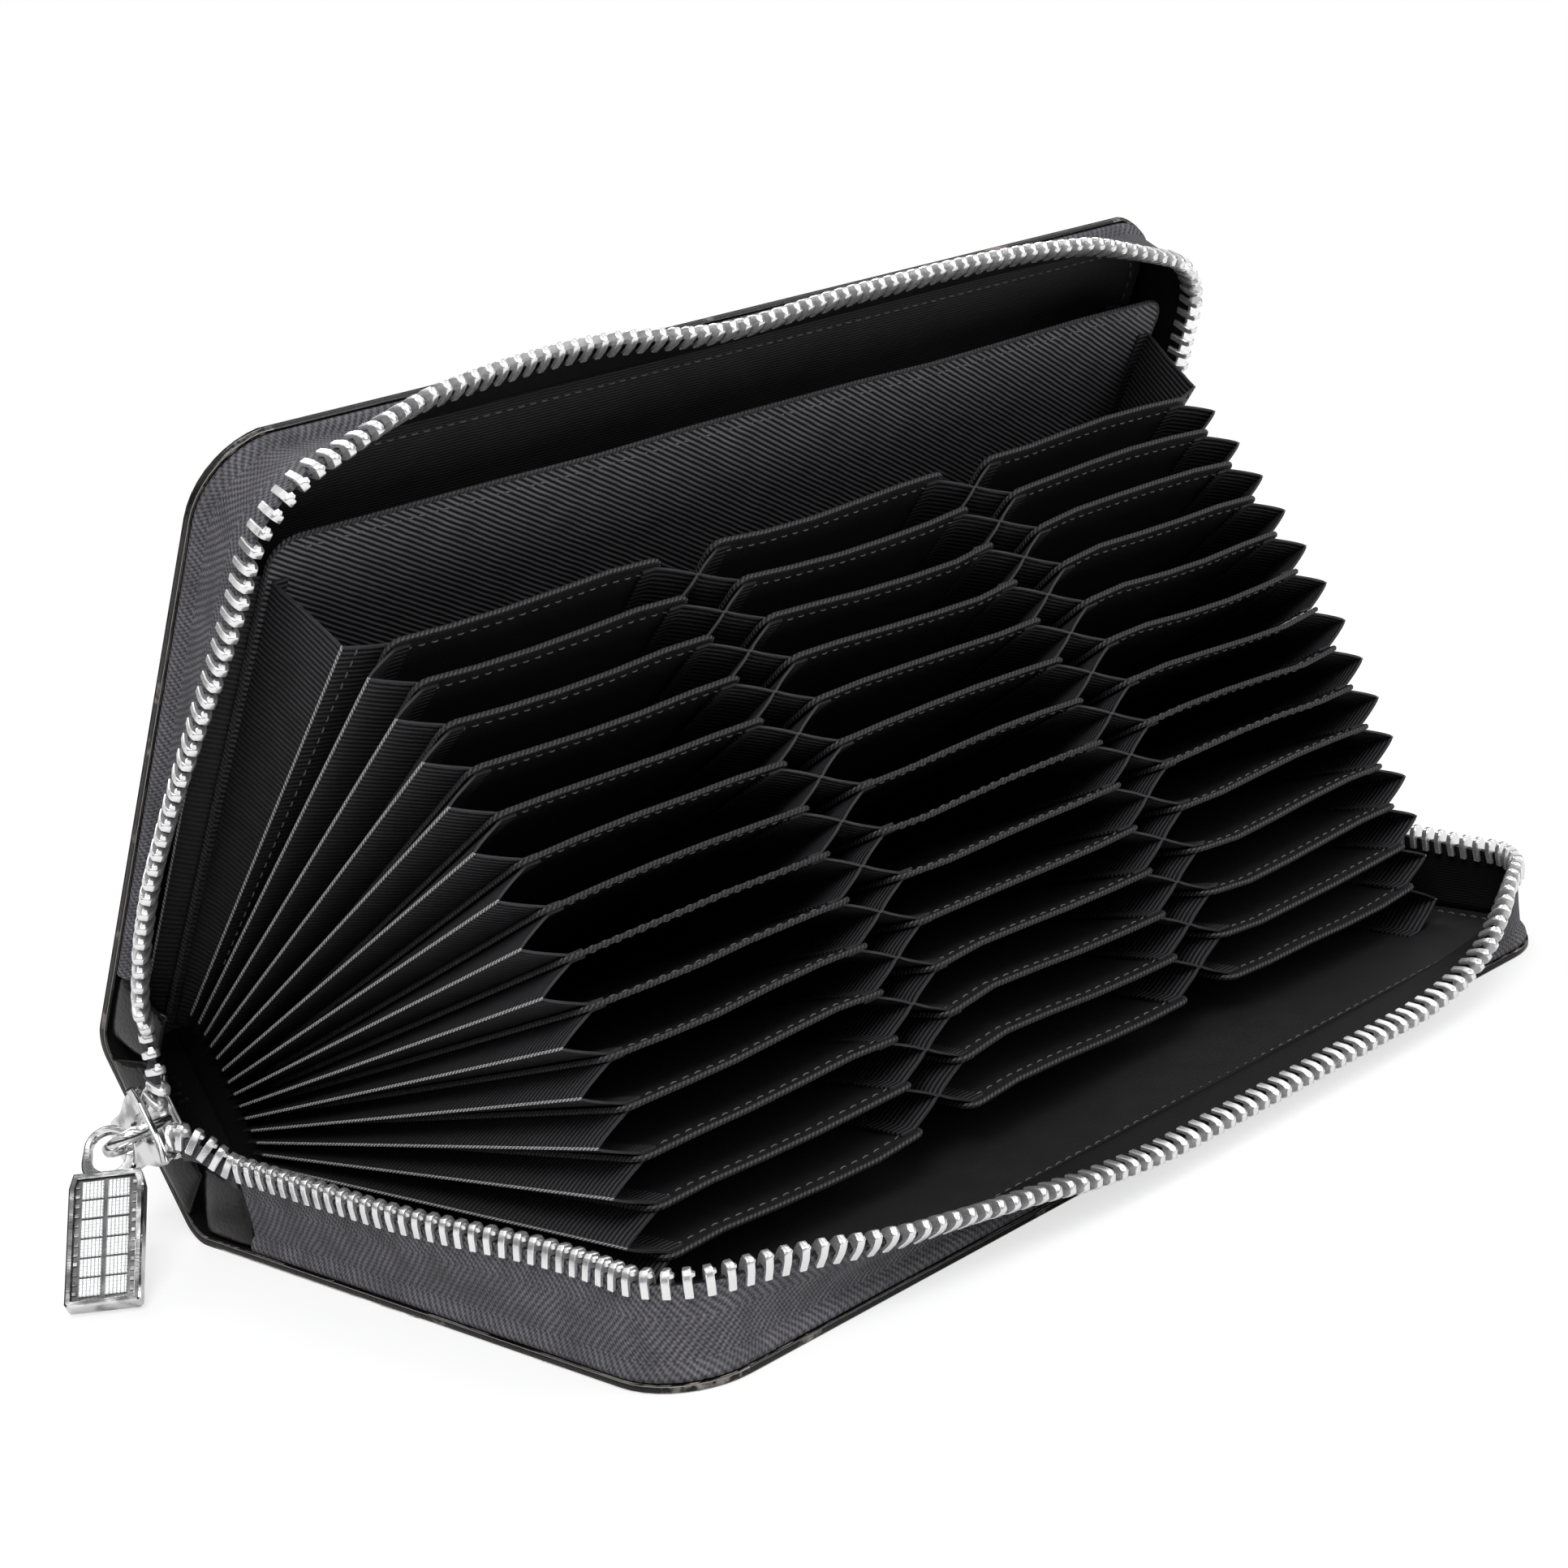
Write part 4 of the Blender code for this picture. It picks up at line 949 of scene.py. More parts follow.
def row_place(half, share):
    """The middle of the teeth row there, and its direction away from the tape, in the world."""
    place, normal = rim_place(share)
    lean = lean_at(half, share)
    outward, depth = tape_line(lean)[-2]
    reach = CLEARANCE + TOOTH_LENGTH / 2
    out, deep = outward + sin(lean) * reach, depth + cos(lean) * reach
    inward = Vector((0, half.inward, 0))
    point = half.world @ (place + normal * out + inward * deep)
    up = half.world.to_3x3() @ (normal * sin(lean) + inward * cos(lean))
    return point, up


print("row starts at", row_place(FRONT, 0)[0], "and", row_place(REAR, 0)[0])

# %% Woven tape
TAPE_STATIONS = 300
TAPE_IN_JAWS = 2.0 * MM


def build_tape(half):
    grid, us, vs = [], [], []
    run, last = 0.0, None
    for i in range(TAPE_STATIONS + 1):
        share = i / TAPE_STATIONS
        place, normal = rim_place(share)
        line = tape_line(lean_at(half, share), TAPE_IN_JAWS)
        inward = Vector((0, half.inward, 0))
        row = [half.world @ (place + normal * out + inward * deep) for out, deep in line]
        middle = row[len(row) // 2]
        run += (middle - last).length / MM if last else 0.0
        last = middle
        grid.append(row)
        us.append([run] * len(row))
        across, spots = 0.0, [0.0]
        for a, b in zip(row, row[1:]):
            across += (b - a).length / MM
            spots.append(across)
        vs.append(spots)
    # The tape's inner face is dressed in the black pocket nylon: partly the lining that covers it,
    # partly painted shade inside the wallet.
    bm = sheet_bmesh(grid, TAPE, us, vs, finishes=(1, 0) if half is FRONT else (0, 1))
    finishes = [TAPE_FINISH, NYLON_FINISH]
    piece = add_piece(half.name + "_tape", bm, finishes, half.body, smooth=60)
    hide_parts(half.name + "_zip_tape")
    return piece


for half in (FRONT, REAR):
    made = build_tape(half)
    print(made.name, len(made.data.polygons), "faces")

# %% [markdown]
# ## Repeating things along a path
#
# Teeth and stitches are the same small thing, many times, along a line. Geometry Nodes does
# that: the path is resampled at the pitch, a copy stands on every point, turned so that its
# X runs along the path and its Z along the stored up direction, and all copies become one
# real mesh.

# %% Geometry Nodes: items along a path
PATH_INPUTS = {
    "Path": "Geometry",
    "Item": "Object",
    "Pitch": "Float",
    "Wobble": "Float",
    "Finish": "Material",
}
WOBBLE_SEED = 7


def along_path_tree():
    tree = bpy.data.node_groups.new("items_along_a_path", "GeometryNodeTree")
    sockets = tree.interface
    sockets.new_socket("Geometry", in_out="OUTPUT", socket_type="NodeSocketGeometry")
    for name, kind in PATH_INPUTS.items():
        sockets.new_socket(name, in_out="INPUT", socket_type="NodeSocket" + kind)
    graph = Graph(tree)
    path = graph.add("NodeGroupInput", {}, {}, "Path")
    curve = graph.add("GeometryNodeMeshToCurve", {}, {"Mesh": path})
    spacing = {"Curve": curve, "Length": path.other("Pitch")}
    spaced = graph.add("GeometryNodeResampleCurve", {"mode": "LENGTH"}, spacing)
    item = graph.add("GeometryNodeObjectInfo", {}, {"Object": path.other("Item")}, "Geometry")
    tangent = graph.add("GeometryNodeInputTangent", {}, {})
    stored = {"data_type": "FLOAT_VECTOR"}
    up = graph.add("GeometryNodeInputNamedAttribute", stored, {"Name": "up"}, "Attribute")
    turn = graph.add(
        "FunctionNodeAxesToRotation",
        {"primary_axis": "X", "secondary_axis": "Z"},
        {"Primary Axis": tangent, "Secondary Axis": up},
    )
    most = path.other("Wobble")
    between = {"Seed": WOBBLE_SEED, 2: most * -1, 3: most}
    wobble = graph.add("FunctionNodeRandomValue", {"data_type": "FLOAT"}, between, 1)
    tip = graph.add("ShaderNodeCombineXYZ", {}, {"Y": wobble})
    tipped = graph.add("FunctionNodeEulerToRotation", {}, [tip])
    both = {"Rotation": turn, "Rotate By": tipped}
    turned = graph.add("FunctionNodeRotateRotation", {"rotation_space": "LOCAL"}, both)
    placed = {"Points": spaced, "Instance": item, "Rotation": turned}
    copies = graph.add("GeometryNodeInstanceOnPoints", {}, placed)
    real = graph.add("GeometryNodeRealizeInstances", {}, [copies])
    dressed = {"Geometry": real, "Material": path.other("Finish")}
    dressed = graph.add("GeometryNodeSetMaterial", {}, dressed)
    graph.connect(tree.nodes.new("NodeGroupOutput").inputs[0], dressed)
    return tree


ALONG_PATH = along_path_tree()
print("inputs:", [s.name for s in ALONG_PATH.interface.items_tree if s.in_out == "INPUT"])

# %% Using the tree


def repeat_along(name, paths, item, pitch, finish, wobble=0.0):
    """One mesh of an item repeated along paths, each a list of (point, up) pairs."""
    mesh = bpy.data.meshes.new(name + "_path")
    points, edges, ups = [], [], []
    for path in paths:
        first = len(points)
        points += [point for point, up in path]
        ups += [up for point, up in path]
        edges += [(i, i + 1) for i in range(first, len(points) - 1)]
    mesh.from_pydata(points, edges, [])
    stored = mesh.attributes.new("up", "FLOAT_VECTOR", "POINT")
    stored.data.foreach_set("vector", [c for up in ups for c in up])
    piece = bpy.data.objects.new(name, mesh)
    scene.collection.objects.link(piece)
    modifier = piece.modifiers.new("repeat", "NODES")
    modifier.node_group = ALONG_PATH
    values = {"Item": item, "Pitch": pitch, "Wobble": wobble, "Finish": finish}
    for socket in ALONG_PATH.interface.items_tree:
        if socket.in_out == "INPUT" and socket.name in values:
            modifier[socket.identifier] = values[socket.name]
    bpy.context.view_layer.update()
    graph = bpy.context.evaluated_depsgraph_get()
    plain = bpy.data.meshes.new_from_object(piece.evaluated_get(graph))
    piece.modifiers.remove(modifier)
    piece.data = plain
    plain.name = name
    return piece


print("nodes in the tree:", len(ALONG_PATH.nodes))

# %% [markdown]
# ## Stitches
#
# A stitch is a short arch of thread that dips into the cloth at both ends. Rows of them run
# round the linings and below the top hem of each pocket panel.

# %% One stitch and a row of them
STITCH_PITCH = 2.2 * MM
STITCH_REACH = 0.65 * MM
THREAD_RADIUS = 0.12 * MM
# The arch: shares of STITCH_REACH, and heights in thread radii.
STITCH_ARCH = ((-1, -1.6), (-0.6, -0.1), (0, 0.4), (0.6, -0.1), (1, -1.6))


def stitch_item():
    bm = bmesh.new()
    arch = [Vector((x * STITCH_REACH, 0, z * THREAD_RADIUS)) for x, z in STITCH_ARCH]
    tube_into(bm, arch, THREAD_RADIUS, sides=5)
    return add_piece("stitch", bm, [], smooth=ALL_SMOOTH)


STITCH = stitch_item()


def sew(name, lines, body):
    """Rows of stitches, one for each line of (point, up) pairs."""
    piece = repeat_along(name, lines, STITCH, STITCH_PITCH, THREAD_FINISH)
    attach(piece, body)
    return piece


print("one stitch:", len(STITCH.data.polygons), "faces")

# %% [markdown]
# ## Teeth
#
# A metal tooth is stamped from flat wire: two legs that are clamped over the tape's edge, and a
# head with a small nib in front that drops into a hollow at the back of its neighbour.

# %% One tooth
TOOTH_WIDTH = 1.15 * MM
TOOTH_EDGE = 0.14 * MM
JAW = 0.55 * MM
JAW_FLARE = 1.15
LEG_END = -0.1
# The head's outline, in shares of the tooth's half thickness and half length.
SHOULDERS = ((1, 0.1), (0.82, 0.62), (0.5, 1))
NIB_WIDTH = 0.95 * MM
NIB_HEIGHT = 0.8 * MM
NIB_REACH = 0.45 * MM
NIB_ROOT = 0.2 * MM
NIB_TAPER = 0.55
NIB_PLACE = 0.55


def tooth_item():
    half_length, half_thickness = TOOTH_LENGTH / 2, TOOTH_THICKNESS / 2
    right = [(JAW, LEG_END * half_length), (JAW * JAW_FLARE, -half_length)]
    right.append((half_thickness, -half_length))
    right += [(half_thickness * y, half_length * z) for y, z in SHOULDERS]
    left = [(-y, z) for y, z in right[::-1]]
    outline = left[3:] + right + left[:3]
    bm = bmesh.new()
    back = [bm.verts.new((-TOOTH_WIDTH / 2, y, z)) for y, z in outline]
    front = [bm.verts.new((TOOTH_WIDTH / 2, y, z)) for y, z in outline]
    bm.faces.new(back)
    bm.faces.new(front[::-1])
    for i in range(len(outline)):
        j = (i + 1) % len(outline)
        bm.faces.new((back[j], back[i], front[i], front[j]))
    bmesh.ops.recalc_face_normals(bm, faces=bm.faces[:])
    round_edges(bm, TOOTH_EDGE, segments=1)
    for vert in bmesh.ops.create_cube(bm, size=1.0)["verts"]:
        tip = vert.co.x > 0
        size = NIB_TAPER if tip else 1.0
        vert.co.x = TOOTH_WIDTH / 2 + (NIB_REACH if tip else -NIB_ROOT)
        vert.co.y *= NIB_WIDTH * size
        vert.co.z = vert.co.z * NIB_HEIGHT * size + NIB_PLACE * half_length
    return add_piece("tooth", bm, [], smooth=35)


TOOTH = tooth_item()
print("one tooth:", len(TOOTH.data.polygons), "faces")

# %% Rows of teeth
ROW_STEPS = 400
ROW_START = 0.003
ROW_END = 0.988
TOOTH_WOBBLE = radians(2.5)


def build_teeth(half):
    shares = [ROW_START + (ROW_END - ROW_START) * i / ROW_STEPS for i in range(ROW_STEPS + 1)]
    path = [row_place(half, share) for share in shares]
    name = half.name + "_teeth"
    piece = repeat_along(name, [path], TOOTH, TOOTH_PITCH, TEETH_FINISH, TOOTH_WOBBLE)
    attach(piece, half.body)
    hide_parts(half.name + "_zip_teeth")
    return piece


for half in (FRONT, REAR):
    made = build_teeth(half)
    print(made.name, len(made.data.polygons), "faces")

# %% [markdown]
# ## From the slider to the covers
#
# The chain runs out of the slider's mouth in two rows, one to each cover. These short rows sit
# between the spine and a cover.

# %% Slider sizes
SLIDER_X = -3.5 * MM
SLIDER_TAIL = 1.8 * MM
SLIDER_LENGTH = 11.2 * MM
SLIDER_TOP = SLIDER_TAIL + SLIDER_LENGTH
SLIDER_PLATE = 0.9 * MM
SLIDER_PLAY = 0.25 * MM
SLIDER_RAIL = 0.8 * MM
SLIDER_THICKNESS = TOOTH_THICKNESS + 2 * (SLIDER_PLAY + SLIDER_PLATE)
WEDGE_HALF_WIDTH = 0.8 * MM
CHAIN_OFFSET = 1.25 * MM
MOUTH_OFFSET = WEDGE_HALF_WIDTH + SLIDER_PLAY + TOOTH_LENGTH / 2
print("slider is", round(SLIDER_THICKNESS / MM, 2), "mm thick")

# %% Chain between the slider and the covers
CHAIN_START = 0.4 * MM
CHAIN_SPREAD = 1.2 * MM
CHAIN_RISE = 5.5 * MM
CHAIN_RUN_IN = 4.5 * MM
CHAIN_STEPS = 18
CHAIN_SQUEEZE = 0.76
SPINE_STEP = 3
END_TAPE_POINTS = 10
END_TAPE_STEP = 0.4 * MM
END_TAPE_EDGE = -0.1 * TOOTH_LENGTH
END_TAPE_MAP_STEP = 2.0


def chain_path(half):
    """A smooth curve from the slider's mouth to the start of the cover's row."""
    side = -half.inward
    to_upright = WALLET.inverted()
    end, up = row_place(half, 0)
    end, up = to_upright @ end, to_upright.to_3x3() @ up
    away = half.upright.to_3x3() @ Vector((0, 0, 1))
    first = Vector((SLIDER_X, side * MOUTH_OFFSET, SLIDER_TOP + CHAIN_START))
    pull_out = first + Vector((0, side * CHAIN_SPREAD, CHAIN_RISE))
    run_in = end - away * CHAIN_RUN_IN
    first_up = Vector((0, -side, 0))
    turn = WALLET.to_3x3()
    path = []
    for i in range(CHAIN_STEPS - 1):
        t = i / CHAIN_STEPS
        a, b, c = first.lerp(pull_out, t), pull_out.lerp(run_in, t), run_in.lerp(end, t)
        place = a.lerp(b, t).lerp(b.lerp(c, t), t)
        path.append((WALLET @ place, turn @ first_up.lerp(up, t).normalized()))
    return path


def build_chain_end(half):
    path = chain_path(half)
    on_spine, on_cover = path[SPINE_STEP][0], path[-1][0]
    pitch = TOOTH_PITCH * CHAIN_SQUEEZE
    piece = repeat_along(half.name + "_chain_end", [path], TOOTH, pitch, TEETH_FINISH)
    blend_at_hinge(piece, half, on_cover, on_spine)
    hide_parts(half.name + "_zip_end")
    points = range(END_TAPE_POINTS)
    drops = [END_TAPE_EDGE - END_TAPE_STEP * k for k in points]
    grid = [[point + up * drop for drop in drops] for point, up in path]
    us = [[i * END_TAPE_MAP_STEP] * END_TAPE_POINTS for i in range(len(path))]
    vs = [[TAPE_WIDTH / MM - END_TAPE_STEP / MM * k for k in points] for _ in path]
    tape = add_piece(half.name + "_tape_end", sheet_bmesh(grid, TAPE, us, vs), [TAPE_FINISH])
    blend_at_hinge(tape, half, on_cover, on_spine)
    return piece


for half in (FRONT, REAR):
    made = build_chain_end(half)
    print(made.name, len(made.data.polygons), "faces")

# %% [markdown]
# ## Pockets
#
# All pocket parts stand on an axis line inside the spine and open upwards like a fan. A pocket
# wall is described by a line in Y and Z. Folds are drawn between two walls.

# %% Pocket sizes and walls
POCKET_AXIS_HEIGHT = 8 * MM
LEAF = 0.6 * MM
LEAF_COUNT = 14
LEAF_PITCH = 1.75 * MM
LEAF_LENGTH = 85 * MM
LEAF_END_INSET = 15 * MM
LEAF_STRIP = 6 * MM
LEAF_REAR_ANGLE = radians(17.8)
LEAF_FRONT_ANGLE = radians(-29.1)
COLUMN_COUNT = 3
COLUMN_GAP = 10 * MM
DIVIDER_OFFSET = 13.1 * MM
DIVIDER_LENGTH = 90.5 * MM
DIVIDER_INSET = 6 * MM
DIVIDER_ANGLE = radians(28)
LINING_GAP = 0.2 * MM


class Wall:
    """A line in the upright wallet's Y and Z that cloth stands on or is sewn to.

    lift moves it off its face towards one side (1 or -1), and start moves its foot up it.
    """

    def __init__(self, offset, height, angle, towards=0, lift=0.0, start=0.0):
        self.along = Vector((0, sin(angle), cos(angle)))
        self.face = Vector((0, cos(angle), -sin(angle)))
        self.base = Vector((0, offset, height)) + self.face * (towards * lift)
        self.base += self.along * start

    def at(self, x, distance, lift=0.0):
        return Vector((x, 0, 0)) + self.base + self.along * distance + self.face * lift


def leaf_angle(index):
    return LEAF_REAR_ANGLE + (LEAF_FRONT_ANGLE - LEAF_REAR_ANGLE) * index / (LEAF_COUNT - 1)


def leaf_wall(index, towards=0, lift=0.0):
    offset = LEAF_PITCH * ((LEAF_COUNT - 1) / 2 - index)
    return Wall(offset, POCKET_AXIS_HEIGHT, leaf_angle(index), towards, lift)


def divider_wall(towards=0, lift=0.0):
    return Wall(DIVIDER_OFFSET, POCKET_AXIS_HEIGHT, DIVIDER_ANGLE, towards, lift)


def lining_wall(half, start):
    side = -half.inward
    lift = LINING_TOP + LINING_GAP
    return Wall(side * HINGE_SPACING / 2, 0, side * OPEN_ANGLE, half.inward, lift, start)


def columns():
    total = COVER_LENGTH - 2 * LEAF_END_INSET
    width = (total - (COLUMN_COUNT - 1) * COLUMN_GAP) / COLUMN_COUNT
    lefts = [LEAF_END_INSET + (width + COLUMN_GAP) * i for i in range(COLUMN_COUNT)]
    return [(left, left + width) for left in lefts]


print("columns:", [(round(a / MM, 1), round(b / MM, 1)) for a, b in columns()])

# %% Soft panels
HEM_RADIUS = 0.42 * MM
SEAM_DROP = 2 * MM
SEAM_LIFT = 0.06 * MM
RIPPLE_LENGTH = 38 * MM
RIPPLE_HEIGHT = 45 * MM
RIPPLE_DRIFT = 0.22


def ripple(index, x, height, most):
    """A soft unevenness of cloth, the same on each run, growing with the height."""
    spot = Vector((x / RIPPLE_LENGTH, height / RIPPLE_HEIGHT, index * RIPPLE_DRIFT))
    return noise.noise(spot) * most * (height / LEAF_LENGTH) ** 2


def corner_inset(over, radius):
    """How far a rounded corner has drawn in at a height over the point where it starts."""
    return radius - sqrt(max(radius**2 - max(over, 0) ** 2, 0))


def hem_seam(wall, lengthwise, height, place):
    """Stitch places on both faces of a panel, along its top hem."""
    out = WALLET.to_3x3() @ wall.face
    lines = []
    for side in (1, -1):
        rise = out * side * (LEAF / 2 + SEAM_LIFT)
        lines.append([(place(x, height) + rise, out * side) for x in lengthwise])
    return lines


print("a ripple:", round(ripple(0, LEAF_LENGTH, LEAF_LENGTH, 1), 3))

# %% Leaves
LEAF_CORNER = 2 * MM
LEAF_RIPPLE = 2.2 * MM
# Heights of the rows in millimetres, closest where the top corners are rounded.
LEAF_ROWS = (-0.3, 2, 6, 14, 24, 34, 44, 54, 64, 72, 78, 83, 84.3, 84.8, 85)
LEAF_SHARES = (0, 0.012, 0.04, 0.2, 0.4, 0.6, 0.8, 0.96, 0.988, 1)
SEAM_SHARES = (0.03, 0.2, 0.4, 0.6, 0.8, 0.97)
CALM = 6


def leaf_point(wall, index, x, height, left, right):
    """A point of the column between left and right, which bulges a little in the middle."""
    inset = corner_inset(height - (LEAF_LENGTH - LEAF_CORNER), LEAF_CORNER)
    x = min(max(x, left + inset), right - inset)
    part = (x - left) / (right - left)
    calm = max(min(1, CALM * part, CALM * (1 - part)), 0)
    return WALLET @ wall.at(x, height, ripple(index, x, height, LEAF_RIPPLE) * calm)


def leaf_grid(wall, index):
    """The leaf's points, the X of each grid column, and a test for the cells that are cloth."""
    grid = [[] for _ in LEAF_ROWS]
    xs, cloth = [], []
    for left, right in columns():
        column = [left + (right - left) * share for share in LEAF_SHARES]
        for line, height in zip(grid, LEAF_ROWS):
            line += [leaf_point(wall, index, x, height * MM, left, right) for x in column]
        xs += column
        cloth += [True] * (len(LEAF_SHARES) - 1) + [False]

    def keep(i, j):
        return cloth[j] or LEAF_ROWS[i + 1] <= LEAF_STRIP / MM

    return grid, xs, keep


def build_leaf(index):
    wall = leaf_wall(index)
    grid, xs, keep = leaf_grid(wall, index)
    bm = sheet_bmesh(grid, LEAF, [x / MM for x in xs], LEAF_ROWS, keep)
    rise = [row * MM for row in LEAF_ROWS if row >= LEAF_STRIP / MM]
    seams = []
    for left, right in columns():

        def place(x, height):
            return leaf_point(wall, index, x, height, left, right)

        hem = [place(left, height) for height in rise]
        hem_xs = [left + (right - left) * share for share in LEAF_SHARES[2:-2]]
        hem += [place(x, LEAF_LENGTH) for x in hem_xs]
        hem += [place(right, height) for height in rise[::-1]]
        tube_into(bm, hem, HEM_RADIUS, 1)
        seam_xs = [left + (right - left) * share for share in SEAM_SHARES]
        seams += hem_seam(wall, seam_xs, LEAF_LENGTH - SEAM_DROP, place)
    name = "leaf_%02d" % (index + 1)
    piece = add_piece(name + "_cloth", bm, [NYLON_FINISH, HEM_FINISH], name)
    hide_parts(name)
    sew(name + "_stitches", seams, name)


for index in range(LEAF_COUNT):
    build_leaf(index)
print("leaves:", LEAF_COUNT)

# %% Divider
DIVIDER_CORNER = 4 * MM
DIVIDER_RIPPLE = 1.5 * MM
DIVIDER_ROWS = [-0.3, 3, 8] + [16 + 8 * i for i in range(9)] + [86.5, 87.9, 89.1, 90, 90.5]
DIVIDER_SHARES = [0, 0.01, 0.03] + [0.1 * i for i in range(1, 10)] + [0.97, 0.99, 1]
DIVIDER_RIPPLE_INDEX = 40
DIVIDER_CALM = 5


def build_divider():
    wall = divider_wall()
    left, right = DIVIDER_INSET, COVER_LENGTH - DIVIDER_INSET

    def x_at(share, height):
        inset = corner_inset(height - (DIVIDER_LENGTH - DIVIDER_CORNER), DIVIDER_CORNER)
        return left + inset + (right - left - 2 * inset) * share

    def point(share, height):
        x = x_at(share, height)
        calm = min(1, DIVIDER_CALM * share, DIVIDER_CALM * (1 - share))
        lift = ripple(DIVIDER_RIPPLE_INDEX, x, height, DIVIDER_RIPPLE) * calm
        return WALLET @ wall.at(x, height, lift)

    rise = [height * MM for height in DIVIDER_ROWS]
    grid = [[point(share, height) for share in DIVIDER_SHARES] for height in rise]
    us = [[x_at(share, height) / MM for share in DIVIDER_SHARES] for height in rise]
    bm = sheet_bmesh(grid, LEAF, us, DIVIDER_ROWS)
    hem = [point(0, height) for height in rise]
    hem += [point(share, DIVIDER_LENGTH) for share in DIVIDER_SHARES[1:-1]]
    hem += [point(1, height) for height in rise[::-1]]
    tube_into(bm, hem, HEM_RADIUS, 1)
    piece = add_piece("divider_cloth", bm, [TWILL_FINISH, HEM_FINISH], "divider")
    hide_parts("divider")
    seams = hem_seam(wall, DIVIDER_SHARES[2:-2], DIVIDER_LENGTH - SEAM_DROP, point)
    sew("divider_stitches", seams, "divider")
    print(piece.name, len(piece.data.polygons), "faces")


build_divider()

# %% [markdown]
# ## Folded side gussets
#
# Between two walls the cloth is folded like a bellows. The ends fold outwards once, and where
# two columns meet, two folds are sewn back to back and make an X. Each crease carries a thin
# ribbed cord, which is the bright line that the photograph shows.

# %% Gusset sizes and section
FOLD = 0.35 * MM
HEM = 1.2 * MM
FLANGE = 2.5 * MM
CREASE_INSET = 9.5 * MM
CREASE_RADIUS = 0.22 * MM
CLOTH_GAP = LEAF / 2 + FOLD / 2 + 0.02 * MM
LEAF_HEM = LEAF_END_INSET + HEM
FOLD_TOP_DROP = 1 * MM
LEAF_FOLD_TOP = LEAF_LENGTH - FOLD_TOP_DROP
# Heights of the rows up the folds and on the bottom fold, in millimetres.
GUSSET_HEIGHTS = (1.2, 4, 10, 20, 32, 44, 56, 68, 77, 82, 84)
FLOOR_HEIGHTS = (0.6, 1.4)
VEE_SHARES = (0, 0.1, 0.22, 0.34, 0.44, 0.5, 0.56, 0.66, 0.78, 0.9, 1)
VEE_POWER = 1.2


def vee(hem_x, crease_x, flange):
    """(x, share) pairs from one wall to the crease and back to the other wall."""
    points = [(hem_x + flange, 0)]
    for share in VEE_SHARES:
        part = 1 - abs(2 * share - 1) ** VEE_POWER
        points.append((hem_x + (crease_x - hem_x) * part, share))
    return points + [(hem_x + flange, 1)]


def both_ends(line, crease_x, share=0.5):
    """A gusset, as its lines and its cord, at the left end and mirrored at the right end."""
    mirrored = [(COVER_LENGTH - x, part) for x, part in line]
    return [([line], (crease_x, share)), ([mirrored], (COVER_LENGTH - crease_x, share))]


print("points across a gusset:", len(vee(LEAF_HEM, CREASE_INSET, FLANGE)))

# %% Gusset cloth and cords


def cloth_between(bm_target, line, low, high, heights, top):
    """Adds a sheet along the line of (x, share) pairs, between the two walls."""
    grid = []
    for height in heights:
        h = min(height * MM, top)
        a, b = low.at(0, h), high.at(0, h)
        grid.append([WALLET @ (a.lerp(b, share) + Vector((x, 0, 0))) for x, share in line])
    us, run = [0.0], 0.0
    for first, second in zip(grid[-1], grid[-1][1:]):
        run += (second - first).length / MM
        us.append(run)
    made = sheet_bmesh(grid, FOLD, us, heights)
    mesh = bpy.data.meshes.new("part")
    made.to_mesh(mesh)
    made.free()
    bm_target.from_mesh(mesh)
    bpy.data.meshes.remove(mesh)


def crease_cord(bm_target, low, high, top, x, share, radius=CREASE_RADIUS, finish_index=1):
    """Adds the cord up a crease, at x and at this share of the way between the walls."""
    points = []
    for height in GUSSET_HEIGHTS[1:]:
        h = min(height * MM, top)
        points.append(WALLET @ (low.at(x, h).lerp(high.at(x, h), share)))
    tube_into(bm_target, points, radius, finish_index)


def gusset_bmesh(gussets, start, low, high, top):
    """Cloth and cord of each gusset, and the fold along the bottom from start to its mirror."""
    bm = bmesh.new()
    bm.loops.layers.uv.new("UVMap")
    for lines, cord in gussets:
        for line in lines:
            cloth_between(bm, line, low, high, GUSSET_HEIGHTS, top)
        crease_cord(bm, low, high, top, *cord)
    bottom = [(start, 0.5), (COVER_LENGTH / 2, 0.5), (COVER_LENGTH - start, 0.5)]
    cloth_between(bm, bottom, low, high, FLOOR_HEIGHTS, top)
    return bm


def squash_to_hinge(piece, wall):
    """Gives the piece a mesh of its own."""
    WALLET @ wall.base
    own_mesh(piece)


def finish_fold(name, bm, body, anchor_wall):
    finishes = [GROSGRAIN_FINISH, CREASE_FINISH, HEM_FINISH]
    piece = add_piece(name + "_cloth", bm, finishes, body)
    squash_to_hinge(piece, anchor_wall)
    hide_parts(name)
    return piece


print("rows of points up a gusset:", len(GUSSET_HEIGHTS))

# %% Folds between the leaves
SEAM_CORD_RADIUS = 0.27 * MM
SEAM_HALF_WIDTH = 0.25 * MM


def column_gussets():
    """Where two columns meet: two gussets back to back, with one cord between them."""
    gussets = []
    for first, second in zip(columns(), columns()[1:]):
        middle = (first[1] + second[0]) / 2
        left = vee(first[1] - HEM, middle - SEAM_HALF_WIDTH, -FLANGE)
        right = vee(second[0] + HEM, middle + SEAM_HALF_WIDTH, FLANGE)
        gussets.append(([left, right], (middle, 0.5, SEAM_CORD_RADIUS, 2)))
    return gussets


